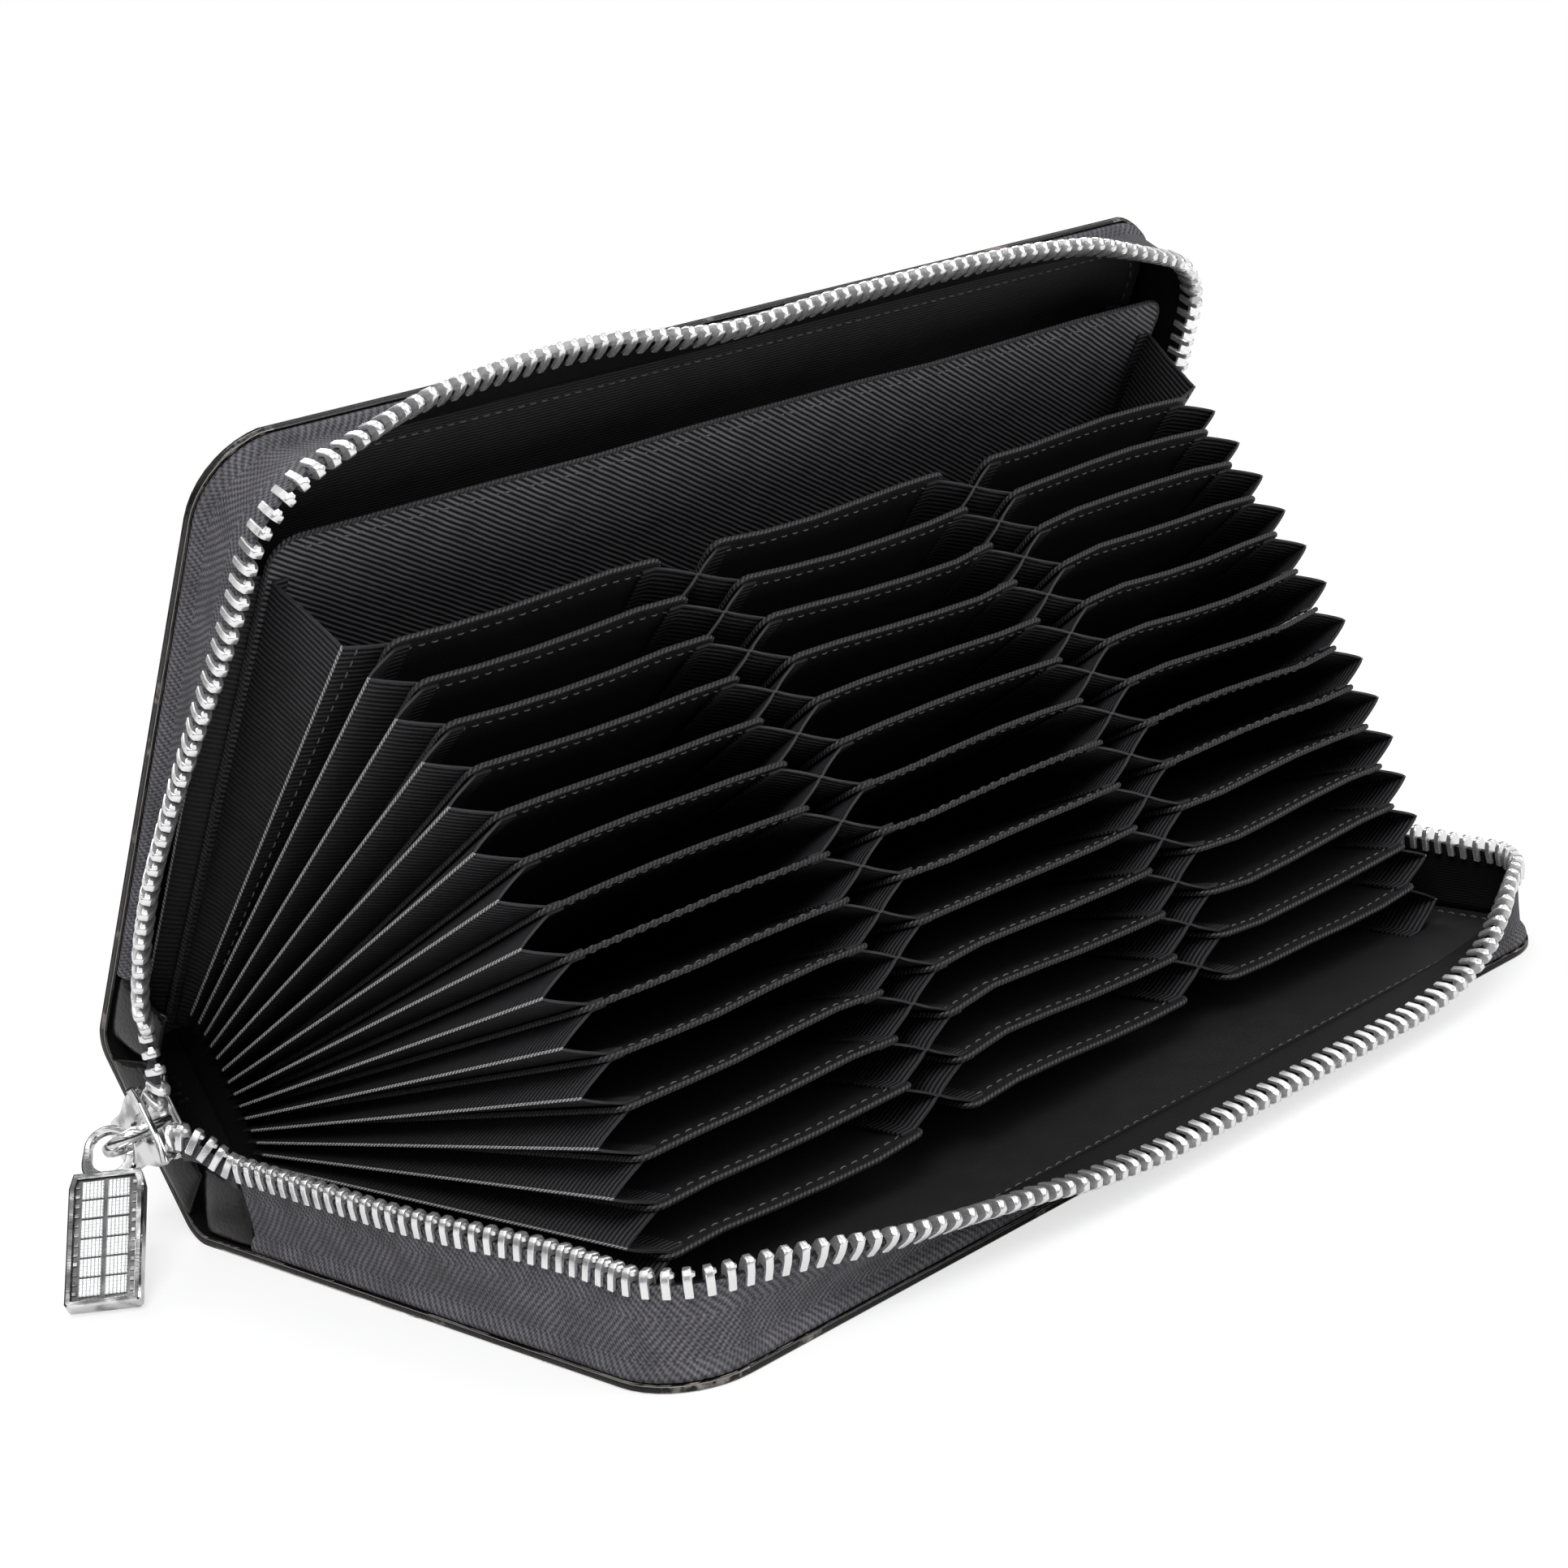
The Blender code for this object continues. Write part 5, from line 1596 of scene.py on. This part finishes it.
def build_card_folds(index):
    """The folds between two leaves. They ride on the leaf that the record gives them to."""
    low, high = leaf_wall(index + 1, 1, CLOTH_GAP), leaf_wall(index, -1, CLOTH_GAP)
    bm = gusset_bmesh(leaf_gussets + column_gussets(), LEAF_HEM, low, high, LEAF_FOLD_TOP)
    name = "card_folds_%02d" % (index + 1)
    body = next(body for body, nodes in body_nodes.items() if name in nodes)
    finish_fold(name, bm, body, leaf_wall(int(body[-2:]) - 1))


leaf_gussets = both_ends(vee(LEAF_HEM, CREASE_INSET, FLANGE), CREASE_INSET)
body_nodes = frame["record"]["behaviour"]["bodies"]
for index in range(LEAF_COUNT - 1):
    build_card_folds(index)
print("card folds:", LEAF_COUNT - 1)

# %% Folds from the leaves to the front lining
LINING_START = 6 * MM

low, high = lining_wall(FRONT, LINING_START), leaf_wall(LEAF_COUNT - 1, -1, CLOTH_GAP)
bm = gusset_bmesh(leaf_gussets, LEAF_END_INSET, low, high, LEAF_FOLD_TOP)
piece = finish_fold("front_folds", bm, "front_cover", lining_wall(FRONT, 0))
print(piece.name, len(piece.data.polygons), "faces")

# %% Folds from the leaves to the divider
DIVIDER_HEM = DIVIDER_INSET + HEM
# Millimetres from the wallet's end, and the share of the way from the leaf to the divider.
PHONE_FLAP = (
    (12.5, 0.05), (9.8, 0.1), (9.0, 0.12), (9.0, 0.2), (8.6, 0.4), (8.1, 0.65), (7.4, 0.88),
)
PHONE_CREASE = PHONE_FLAP[2]
FLAP_SEAM_START = 16 * MM
FLAP_SEAM_STEPS = 14


def fold_seam(low, high, first, second, top):
    """Stitch places up a fold, half way between two of its (x, share) points."""
    turn = WALLET.to_3x3()
    along = turn @ low.along.lerp(high.along, 0.5)
    places = []
    for i in range(FLAP_SEAM_STEPS + 1):
        height = FLAP_SEAM_START + (top - FLAP_SEAM_START) * i / FLAP_SEAM_STEPS
        a, b = [low.at(x, height).lerp(high.at(x, height), share) for x, share in (first, second)]
        out = (turn @ (b - a)).cross(along).normalized()
        if (turn.inverted() @ out).y > 0:
            out.negate()
        places.append((WALLET @ a.lerp(b, 0.5) + out * (FOLD / 2 + SEAM_LIFT), out))
    return places


flap = [(LEAF_HEM + FLANGE, 0), (LEAF_HEM, 0)]
flap += [(x * MM, share) for x, share in PHONE_FLAP]
flap += [(DIVIDER_HEM, 1), (DIVIDER_HEM + FLANGE, 1)]
gussets = both_ends(flap, PHONE_CREASE[0] * MM, PHONE_CREASE[1])
low, high = leaf_wall(0, 1, CLOTH_GAP), divider_wall(-1, CLOTH_GAP)
bm = gusset_bmesh(gussets, LEAF_END_INSET, low, high, LEAF_FOLD_TOP)
piece = finish_fold("phone_folds", bm, "divider", divider_wall())
print(piece.name, len(piece.data.polygons), "faces")
seam_top = LEAF_FOLD_TOP - FOLD_TOP_DROP
seams = [fold_seam(low, high, line[2], line[3], seam_top) for lines, _ in gussets for line in lines]
piece = sew("phone_fold_stitches", seams, "divider")
squash_to_hinge(piece, divider_wall())
print("stitched flaps:", len(seams))

# %% Folds from the divider to the rear lining
CASH_CREASE_INSET = 3.2 * MM

gussets = both_ends(vee(DIVIDER_HEM, CASH_CREASE_INSET, FLANGE), CASH_CREASE_INSET)
low, high = divider_wall(1, CLOTH_GAP), lining_wall(REAR, LINING_START)
bm = gusset_bmesh(gussets, LEAF_END_INSET, low, high, DIVIDER_LENGTH - FOLD_TOP_DROP)
piece = finish_fold("cash_folds", bm, "divider", divider_wall())
print(piece.name, len(piece.data.polygons), "faces")

# %% [markdown]
# ## Linings
#
# Inside each cover a nylon panel hides the board. A line of stitches runs round it, which holds
# the zipper tape underneath.

# %% Cover linings
LINING_INSET = 2.9 * MM
PANEL_START = 3 * MM
PANEL_STEPS = 16
PANEL_CORNER_STEPS = 8
PANEL_COLUMNS = 30
PANEL_RIPPLE = 1.6 * MM
PANEL_RIPPLE_INDEX = 60
PANEL_CALM = 8
PANEL_TOP_CALM = 15 * MM


def build_lining(half):
    left, right = LINING_INSET, COVER_LENGTH - LINING_INSET
    top = COVER_HEIGHT - LINING_INSET
    radius = COVER_CORNER - LINING_INSET
    middle = (LINING_FACE + LINING_TOP) / 2
    rise = top - radius - PANEL_START
    turn = pi / 2 / PANEL_CORNER_STEPS
    heights = [PANEL_START + rise * i / PANEL_STEPS for i in range(PANEL_STEPS + 1)]
    heights += [top - radius + radius * sin(turn * i) for i in range(1, PANEL_CORNER_STEPS + 1)]
    shares = [i / PANEL_COLUMNS for i in range(PANEL_COLUMNS + 1)]

    def point(share, height):
        inset = corner_inset(height - (top - radius), radius)
        x = left + inset + (right - left - 2 * inset) * share
        calm = min(1, PANEL_CALM * share, PANEL_CALM * (1 - share), (top - height) / PANEL_TOP_CALM)
        swell = ripple(PANEL_RIPPLE_INDEX + half.inward, x, height, PANEL_RIPPLE)
        return half.at(x, middle + max(0, swell) * max(0, calm), height)

    grid = [[point(share, height) for share in shares] for height in heights]
    us = [(left + (right - left) * share) / MM for share in shares]
    bm = sheet_bmesh(grid, LINING, us, [height / MM for height in heights])
    piece = add_piece(half.name + "_lining_cloth", bm, [NYLON_FINISH], half.body)
    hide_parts(half.name + "_lining")
    print(piece.name, len(piece.data.polygons), "faces")


print("lining panels reach", round(LINING_INSET / MM, 1), "mm from the covers' edges")

# %% Stitches round the linings
RIM_SEAM_INSET = 5.2 * MM
RIM_SEAM_START = 14 * MM
RIM_SEAM_LIFT = 0.08 * MM
RIM_SEAM_STEPS = 20


def build_lining_stitches(half):
    inset = RIM_SEAM_INSET
    radius = COVER_CORNER - inset
    shoulder = COVER_HEIGHT - COVER_CORNER
    rise = (shoulder - RIM_SEAM_START) / RIM_SEAM_STEPS
    left = [(inset, RIM_SEAM_START + rise * i) for i in range(RIM_SEAM_STEPS + 1)]
    for i in range(PANEL_CORNER_STEPS + 1):
        angle = pi / 2 * i / PANEL_CORNER_STEPS
        left.append((inset + radius * (1 - cos(angle)), shoulder + radius * sin(angle)))
    points = left + [(COVER_LENGTH - x, z) for x, z in left[::-1]]
    up = half.world.to_3x3() @ Vector((0, half.inward, 0))
    path = [(half.at(x, LINING_TOP + RIM_SEAM_LIFT, z), up) for x, z in points]
    sew(half.name + "_stitches", [path], half.body)


for half in (FRONT, REAR):
    build_lining(half)
    build_lining_stitches(half)

# %% [markdown]
# ## Slider
#
# The slider is two metal plates joined by a post at the mouth. The post parts the two rows of
# teeth, rolled rails at the sides guide them, and a round bridge on the outer plate carries the
# pull. A plate is drawn as rings round its middle line: the rings make the rolled edges.

# %% Outline of a slider plate
TAIL_HALF_WIDTH = CHAIN_OFFSET + TOOTH_LENGTH / 2 + SLIDER_PLAY + SLIDER_RAIL
MOUTH_HALF_WIDTH = MOUTH_OFFSET + TOOTH_LENGTH / 2 + SLIDER_PLAY + SLIDER_RAIL
TAIL_RADIUS = 1.3 * MM
TAIL_STEPS = 6
SHOULDER_SHARES = (0.3, 0.4, 0.5, 0.6, 0.7, 0.8, 0.9, 1.0)
SHOULDER_LENGTH = 0.45
MITRE_LIMIT = 0.4


def slider_at(out, y, z):
    """A point at this distance from the slider's middle plane, in the world."""
    return WALLET @ Vector((SLIDER_X + out, y, z))


def plate_outline():
    """Anticlockwise, in Y and Z: a narrow tail with round corners, and a wide mouth."""
    right = []
    tail, mouth, radius = TAIL_HALF_WIDTH, MOUTH_HALF_WIDTH, TAIL_RADIUS
    for i in range(TAIL_STEPS + 1):
        angle = pi / 2 * (i / TAIL_STEPS - 1)
        y = tail - radius + radius * cos(angle)
        right.append((y, SLIDER_TAIL + radius + radius * sin(angle)))
    for share in SHOULDER_SHARES:
        part = ease(min(1, (share - SHOULDER_SHARES[0]) / SHOULDER_LENGTH))
        right.append((tail + (mouth - tail) * part, SLIDER_TAIL + SLIDER_LENGTH * share))
    return right + [(-y, z) for y, z in right[::-1]]


def inset_loop(loop, distance):
    """Moves a closed outline of (a, b) pairs inwards, with mitred corners."""
    moved = []
    for before, here, after in zip(loop[-1:] + loop[:-1], loop, loop[1:] + loop[:1]):
        first = Vector((here[0] - before[0], here[1] - before[1])).normalized()
        second = Vector((after[0] - here[0], after[1] - here[1])).normalized()
        normal = Vector((-first[1] - second[1], first[0] + second[0])).normalized()
        reach = distance / max(MITRE_LIMIT, normal.dot(Vector((-second[1], second[0]))))
        moved.append((here[0] + normal[0] * reach, here[1] + normal[1] * reach))
    return moved


print("points in a plate's outline:", len(plate_outline()))

# %% Plates and rails
# Rings of a plate: inset from its outline and drop from its outer face, in millimetres.
PLATE_LEVELS = ((0.7, 0), (0.4, 0.05), (0.12, 0.2), (0, 0.45), (0, 0.7), (0.3, 0.9))
MOUTH_FLARE = 0.45 * MM
FLARE_LENGTH = 3 * MM
RAIL_RADIUS = 0.42 * MM
RAIL_GAP = 0.28 * MM
RAIL_SIDES = 8


def add_ringed(bm, rings, closed_ends=True):
    """Skins rings of equal length. Each ring is a closed loop of points."""
    made = [[bm.verts.new(point) for point in ring] for ring in rings]
    count = len(rings[0])
    for low, high in zip(made, made[1:]):
        for k in range(count):
            n = (k + 1) % count
            bm.faces.new((low[k], low[n], high[n], high[k]))
    if closed_ends:
        bm.faces.new(made[0][::-1])
        bm.faces.new(made[-1])


def slider_plate(bm, side):
    """side is -1 for the outer plate. The mouth flares a little away from the chain."""
    rings = []
    for inset, drop in PLATE_LEVELS:
        ring = []
        for y, z in inset_loop(plate_outline(), inset * MM):
            part = max(0, (z - SLIDER_TOP + FLARE_LENGTH) / FLARE_LENGTH)
            flare = MOUTH_FLARE * part**2 * min(1, abs(y) / MOUTH_HALF_WIDTH)
            ring.append(slider_at(side * (SLIDER_THICKNESS / 2 - drop * MM + flare), y, z))
        rings.append(ring[:: -side])
    add_ringed(bm, rings)


def slider_rail(bm, side):
    """The rolled edges at one side, one on each plate, with the tape's slot between them."""
    depth = SLIDER_THICKNESS / 2 - SLIDER_PLATE - RAIL_GAP
    for face in (-1, 1):
        shoulder = plate_outline()[TAIL_STEPS : TAIL_STEPS + len(SHOULDER_SHARES) + 1]
        points = [slider_at(face * depth, side * (y - RAIL_RADIUS), z) for y, z in shoulder]
        tube_into(bm, points, RAIL_RADIUS, sides=RAIL_SIDES)


print("levels in a plate:", len(PLATE_LEVELS))

# %% Bridge, lips and post
BRIDGE_MIDDLE = SLIDER_TAIL + SLIDER_LENGTH * 0.42
BRIDGE_HEIGHT = 4.15 * MM
BRIDGE_REACH = 4.05 * MM
BRIDGE_ROOT = 0.5 * MM
BRIDGE_HALF_WIDTH = 0.85 * MM
BRIDGE_HALF_DEPTH = 0.55 * MM
BRIDGE_SWELL = 0.35
BRIDGE_STEPS = 20
BRIDGE_SIDES = 12
LIP_RADIUS = 0.62 * MM
LIP_INSET = 0.5 * MM
LIP_BEND = 1.1 * MM
LIP_POWER = 2.5
LIP_RISE = 0.9 * MM
LIP_OVERHANG = 0.1 * MM
LIP_STEPS = 14
LIP_SIDES = 10
POST_DROP = 2.1 * MM
POST_HALF_LENGTH = 1.7 * MM
POST_SIDES = 16


def slider_bridge(bm):
    """A round arch on the outer plate, thinnest in the middle, where the pull hangs."""
    points = []
    for i in range(-1, BRIDGE_STEPS + 2):
        angle = pi * i / BRIDGE_STEPS
        inside = i in (-1, BRIDGE_STEPS + 1)
        out = -BRIDGE_ROOT if inside else BRIDGE_HEIGHT * sin(angle)
        z = BRIDGE_MIDDLE + BRIDGE_REACH * cos(angle)
        points.append(slider_at(-SLIDER_THICKNESS / 2 - out, 0, z))
    across = WALLET.to_3x3() @ Vector((0, 1, 0))
    rings = []
    for i, point in enumerate(points):
        tangent = points[min(i + 1, len(points) - 1)] - points[max(i - 1, 0)]
        up = tangent.cross(across).normalized() * BRIDGE_HALF_DEPTH
        swell = 1 + BRIDGE_SWELL * abs(i - len(points) / 2) / len(points) * 2
        wide = across * (BRIDGE_HALF_WIDTH * swell)
        angles = [2 * pi * k / BRIDGE_SIDES for k in range(BRIDGE_SIDES)]
        rings.append([point + wide * cos(angle) + up * sin(angle) for angle in angles])
    add_ringed(bm, rings)


def slider_lip(bm, side):
    """The thick mouth edge of a plate, bent away from the chain at both ends."""
    points = []
    for i in range(LIP_STEPS + 1):
        part = 2 * i / LIP_STEPS - 1
        out = SLIDER_THICKNESS / 2 - LIP_INSET + LIP_BEND * abs(part) ** LIP_POWER
        z = SLIDER_TOP - LIP_RISE * (1 - part**2)
        points.append(slider_at(side * out, part * (MOUTH_HALF_WIDTH + LIP_OVERHANG), z))
    tube_into(bm, points, LIP_RADIUS, sides=LIP_SIDES)


def slider_post(bm):
    """The wedge at the mouth that parts the two rows of teeth."""
    half = SLIDER_THICKNESS / 2 - SLIDER_PLATE / 2
    rings = []
    for depth in (-half, half):
        ring = []
        for i in range(POST_SIDES):
            angle = 2 * pi * i / POST_SIDES
            z = SLIDER_TOP - POST_DROP + POST_HALF_LENGTH * sin(angle)
            ring.append(slider_at(depth, WEDGE_HALF_WIDTH * cos(angle), z))
        rings.append(ring)
    add_ringed(bm, rings)


def build_slider():
    bm = bmesh.new()
    for side in (-1, 1):
        slider_plate(bm, side)
        slider_rail(bm, side)
        slider_lip(bm, side)
    slider_bridge(bm)
    slider_post(bm)
    bmesh.ops.recalc_face_normals(bm, faces=bm.faces[:])
    piece = add_piece("slider_metal", bm, [CHROME_FINISH], "spine", smooth=50)
    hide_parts("slider")
    print("slider:", len(piece.data.polygons), "faces")


build_slider()

# %% [markdown]
# ## Pull
#
# The pull is a cast bar. Its head is a thin round loop that hangs on the bridge. Below it the
# bar is thick, with a sunk field that holds two columns of raised pads and small studs along
# the rims.

# %% Place and loop of the pull
PULL_SLOPE = radians(41)
PULL_TURN = radians(45)
BRIDGE_TO_EYE = 4.15 * MM
EYE_RADIUS = 2.6 * MM
EYE_STRETCH = 1.4 * MM
HEAD_RADIUS = 3.7 * MM
NECK_FLARE = 1.5 * MM
NECK_LENGTH = 5.6 * MM
NECK_POWER = 0.8
LOOP_HALF = 0.7 * MM
LOOP_EDGE = 0.22 * MM
LOOP_STEPS = 48
WELD = 1e-7


def pull_place():
    """The pull's own axes: X across it, Y out of its front, Z up to the eye."""
    eye = WALLET @ Vector((SLIDER_X - SLIDER_THICKNESS / 2 - BRIDGE_TO_EYE, 0, BRIDGE_MIDDLE))
    level = Vector((cos(PULL_TURN), sin(PULL_TURN), 0))
    up = level * cos(PULL_SLOPE) + Vector((0, 0, sin(PULL_SLOPE)))
    across = Vector((-sin(PULL_TURN), cos(PULL_TURN), 0))
    turned = Matrix((across, up.cross(across), up)).transposed().to_4x4()
    slack = CLEARANCE * Vector((1, 1, -1))
    return Matrix.Translation(eye + slack) @ turned


PULL_PLACE = pull_place()


def pull_at(x, y, z):
    return PULL_PLACE @ Vector((x, y, z))


def pull_loop(bm):
    """The thin head with its long eye, as a ring of eight-sided sections."""
    rings = []
    thin, edge = LOOP_HALF, LOOP_EDGE
    for i in range(LOOP_STEPS):
        angle = 2 * pi * i / LOOP_STEPS
        way = Vector((cos(angle), sin(angle)))
        inner, outer = way * EYE_RADIUS, way * HEAD_RADIUS
        if way.y < 0:
            inner.y -= EYE_STRETCH
            outer.x += way.x * NECK_FLARE * -way.y
            outer.y = -NECK_LENGTH * (-way.y) ** NECK_POWER
        gap = (outer - inner).normalized() * edge
        section = (
            (outer - gap, thin), (outer, thin - edge), (outer, edge - thin), (outer - gap, -thin),
            (inner + gap, -thin), (inner, edge - thin), (inner, thin - edge), (inner + gap, thin),
        )
        rings.append([pull_at(spot.x, y, spot.y) for spot, y in section])
    add_ringed(bm, rings + rings[:1], closed_ends=False)
    bmesh.ops.remove_doubles(bm, verts=bm.verts[:], dist=WELD)


print("the pull hangs from", PULL_PLACE.to_translation())

# %% Bar, pads and studs of the pull
PULL_BOTTOM = HEAD_RADIUS - 29 * MM
PULL_HALF = 1.3 * MM
BAR_HALF_WIDTH = 5.5 * MM
BAR_TOP_HALF_WIDTH = 4.9 * MM
BAR_CORNER = 0.5 * MM
BAR_TOP = -4.1 * MM
BAR_SHOULDER = -6.4 * MM
BAR_EDGE = 0.25 * MM
FIELD_INSET = 0.85 * MM
FIELD_SLOPE = 0.12 * MM
FIELD_LIP = 0.1 * MM
FIELD_DEPTH = 0.55 * MM
FIELD_LEVEL = 5
SUNK = 2
PAD_ROWS = 6
PADS_TOP = -5.4 * MM
PADS_BOTTOM = PULL_BOTTOM + 1.4 * MM
PAD_GAP = 0.14 * MM
PAD_ROOT = PULL_HALF - 0.6 * MM
PAD = {"inner": 0.3 * MM, "outer": 3.5 * MM, "sink": 0.12 * MM, "edge": 0.12 * MM, "finish": 1}
STUD = {"inner": 3.85 * MM, "outer": 4.5 * MM, "sink": 0.25 * MM, "edge": 0.08 * MM, "finish": 0}
STUD_HALF = 0.28 * MM
STUD_PLACES = (0.25, 0.75)


def pull_bar(bm):
    """The thick bar. Rings run from its back, round its edge, to the floor of the sunk field."""
    wide, corner = BAR_HALF_WIDTH, BAR_CORNER
    loop = [(-BAR_TOP_HALF_WIDTH, BAR_TOP), (-wide, BAR_SHOULDER)]
    loop += [(-wide, PULL_BOTTOM + corner), (corner - wide, PULL_BOTTOM)]
    loop += [(-x, z) for x, z in loop[::-1]]
    front, edge, floor_inset = PULL_HALF, BAR_EDGE, FIELD_INSET + FIELD_SLOPE
    levels = (
        (edge, -front), (0, edge - front), (0, front - edge), (edge, front), (FIELD_INSET, front),
        (floor_inset, front - FIELD_LIP), (floor_inset, front - FIELD_DEPTH),
    )
    rings = [[pull_at(x, y, z) for x, z in inset_loop(loop, inset)] for inset, y in levels]
    first = len(bm.faces) + FIELD_LEVEL * len(loop)
    add_ringed(bm, rings)
    bm.faces.ensure_lookup_table()
    for face in bm.faces[first : first + len(loop)] + bm.faces[-1:]:
        face.material_index = SUNK


def add_block(bm, side, low, high, kind):
    """A small raised block with a chamfered top, mapped in millimetres."""
    uv_layer = bm.loops.layers.uv.verify()
    before = len(bm.faces)
    left, right = sorted((side * kind["inner"], side * kind["outer"]))
    top, edge = PULL_HALF - kind["sink"], kind["edge"]
    rings = []
    for y, inset in ((PAD_ROOT, 0), (top - edge, 0), (top, edge)):
        x0, x1, z0, z1 = left + inset, right - inset, low + inset, high - inset
        corners = ((x0, z0), (x1, z0), (x1, z1), (x0, z1))
        rings.append([pull_at(x, y, z) for x, z in corners])
    add_ringed(bm, rings)
    bm.faces.ensure_lookup_table()
    back = PULL_PLACE.inverted()
    for face in bm.faces[before:]:
        face.material_index = kind["finish"]
        for loop in face.loops:
            spot = back @ loop.vert.co
            loop[uv_layer].uv = (spot.x / MM, spot.z / MM)


def build_pull():
    bm = bmesh.new()
    bm.loops.layers.uv.new("UVMap")
    pull_loop(bm)
    pull_bar(bm)
    pitch = (PADS_TOP - PADS_BOTTOM) / PAD_ROWS
    for row in range(PAD_ROWS):
        low = PADS_BOTTOM + pitch * row
        for side in (-1, 1):
            add_block(bm, side, low + PAD_GAP, low + pitch - PAD_GAP, PAD)
            for share in STUD_PLACES:
                middle = low + pitch * share
                add_block(bm, side, middle - STUD_HALF, middle + STUD_HALF, STUD)
    bmesh.ops.recalc_face_normals(bm, faces=bm.faces[:])
    finishes = [CHROME_FINISH, PAD_FINISH, SUNK_FINISH]
    piece = add_piece("pull_metal", bm, finishes, "pull_tab", smooth=35)
    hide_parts("pull_tab")
    print("pull:", len(piece.data.polygons), "faces")


build_pull()

# %% [markdown]
# ## Leather ends
#
# A folded strip of leather covers each end of the tape beside the spine, and a tab closes each
# end of the spine. They are drawn as soft cushions: a grid that swells towards its middle and
# is drawn in at its rim.

# %% Leather ends
WRAP_START = INNER_FACE + 0.8 * MM + 2 * CLEARANCE
WRAP_GAP = 0.2 * MM
WRAP_LEAN = 1.6 * MM
WRAP_REACH = 12.2 * MM
WRAP_SWELL = 0.9 * MM
# Corners in Y and Z, in millimetres.
SPINE_END_CORNERS = ((-13.0, 0.9), (13.0, 0.9), (9.3, 9.2), (-9.3, 9.2))
SPINE_END_INSET = 0.45 * MM
SPINE_END_SWELL = 1.1 * MM
SPINE_END = 0.9 * MM
CUSHION_STEPS = 14
CUSHION_EDGE = 0.35
ROUND_ACROSS = 0.5
ROUND_UP = 0.35


def cushion(name, corners, side, swell, thickness, body):
    """Leather between four corners, given in turn, that swells out at this side of the wallet."""
    a, b, c, d = corners
    normal = (b - a).cross(d - a).normalized()
    if normal.dot(WALLET.to_3x3() @ Vector((side, 0, 0))) < 0:
        normal.negate()
    grid = []
    for i in range(CUSHION_STEPS + 1):
        v = i / CUSHION_STEPS
        left, right = a.lerp(d, v), b.lerp(c, v)
        line = []
        for j in range(CUSHION_STEPS + 1):
            u = 0.5 - 0.5 * cos(pi * j / CUSHION_STEPS)
            lift = (4 * u * (1 - u)) ** ROUND_ACROSS * (4 * v * (1 - v)) ** ROUND_UP
            line.append(left.lerp(right, u) + normal * (swell * lift))
        grid.append(line)
    bm = sheet_bmesh(grid, thickness)
    round_edges(bm, thickness * CUSHION_EDGE, segments=3)
    piece = add_piece(name + "_leather", bm, [LEATHER_FINISH], body, smooth=60)
    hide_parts(name)


def build_wrap(half, end, x, side):
    low = INNER_FACE + WRAP_GAP
    spots = ((WRAP_START, low), (WRAP_END, low))
    spots += ((WRAP_END, WRAP_REACH), (WRAP_START + WRAP_LEAN, WRAP_REACH))
    corners = [half.at(x, depth, height) for height, depth in spots]
    cushion(half.name + "_end_wrap_" + end, corners, side, WRAP_SWELL, LEATHER, half.body)


def build_spine_end(end, x, side):
    corners = [WALLET @ Vector((x, y * MM, z * MM)) for y, z in SPINE_END_CORNERS]
    cushion("spine_end_" + end, corners, side, SPINE_END_SWELL, SPINE_END, "spine")


for half in (FRONT, REAR):
    build_wrap(half, "left", TAPE_INSET, -1)
    build_wrap(half, "right", COVER_LENGTH - TAPE_INSET, 1)
build_spine_end("left", SPINE_END_INSET, -1)
build_spine_end("right", COVER_LENGTH - SPINE_END_INSET, 1)
print("each wrap covers", round((WRAP_END - WRAP_START) / MM, 1), "mm of a tape's end")

# %% [markdown]
# ## CAD pieces that stay
#
# The stops, the boards and the sewn base of the pockets are small or hidden. They stay as the
# CAD drew them and only get a finish.

# %% Finishes of those pieces
KEPT = {
    "bottom_stop": TEETH_FINISH,
    "front_top_stop": TEETH_FINISH,
    "rear_top_stop": TEETH_FINISH,
    "front_board": BOARD_FINISH,
    "rear_board": BOARD_FINISH,
    "pocket_base": NYLON_FINISH,
}
for name, finish in KEPT.items():
    for slot in frame["nodes"][name].material_slots:
        slot.material = finish
print("kept:", sorted(KEPT))

# %% [markdown]
# ## Tidy up
#
# The single tooth and the single stitch were only patterns to copy. They are removed.

# %% Finish
for pattern in (TOOTH, STITCH):
    bpy.data.objects.remove(pattern)
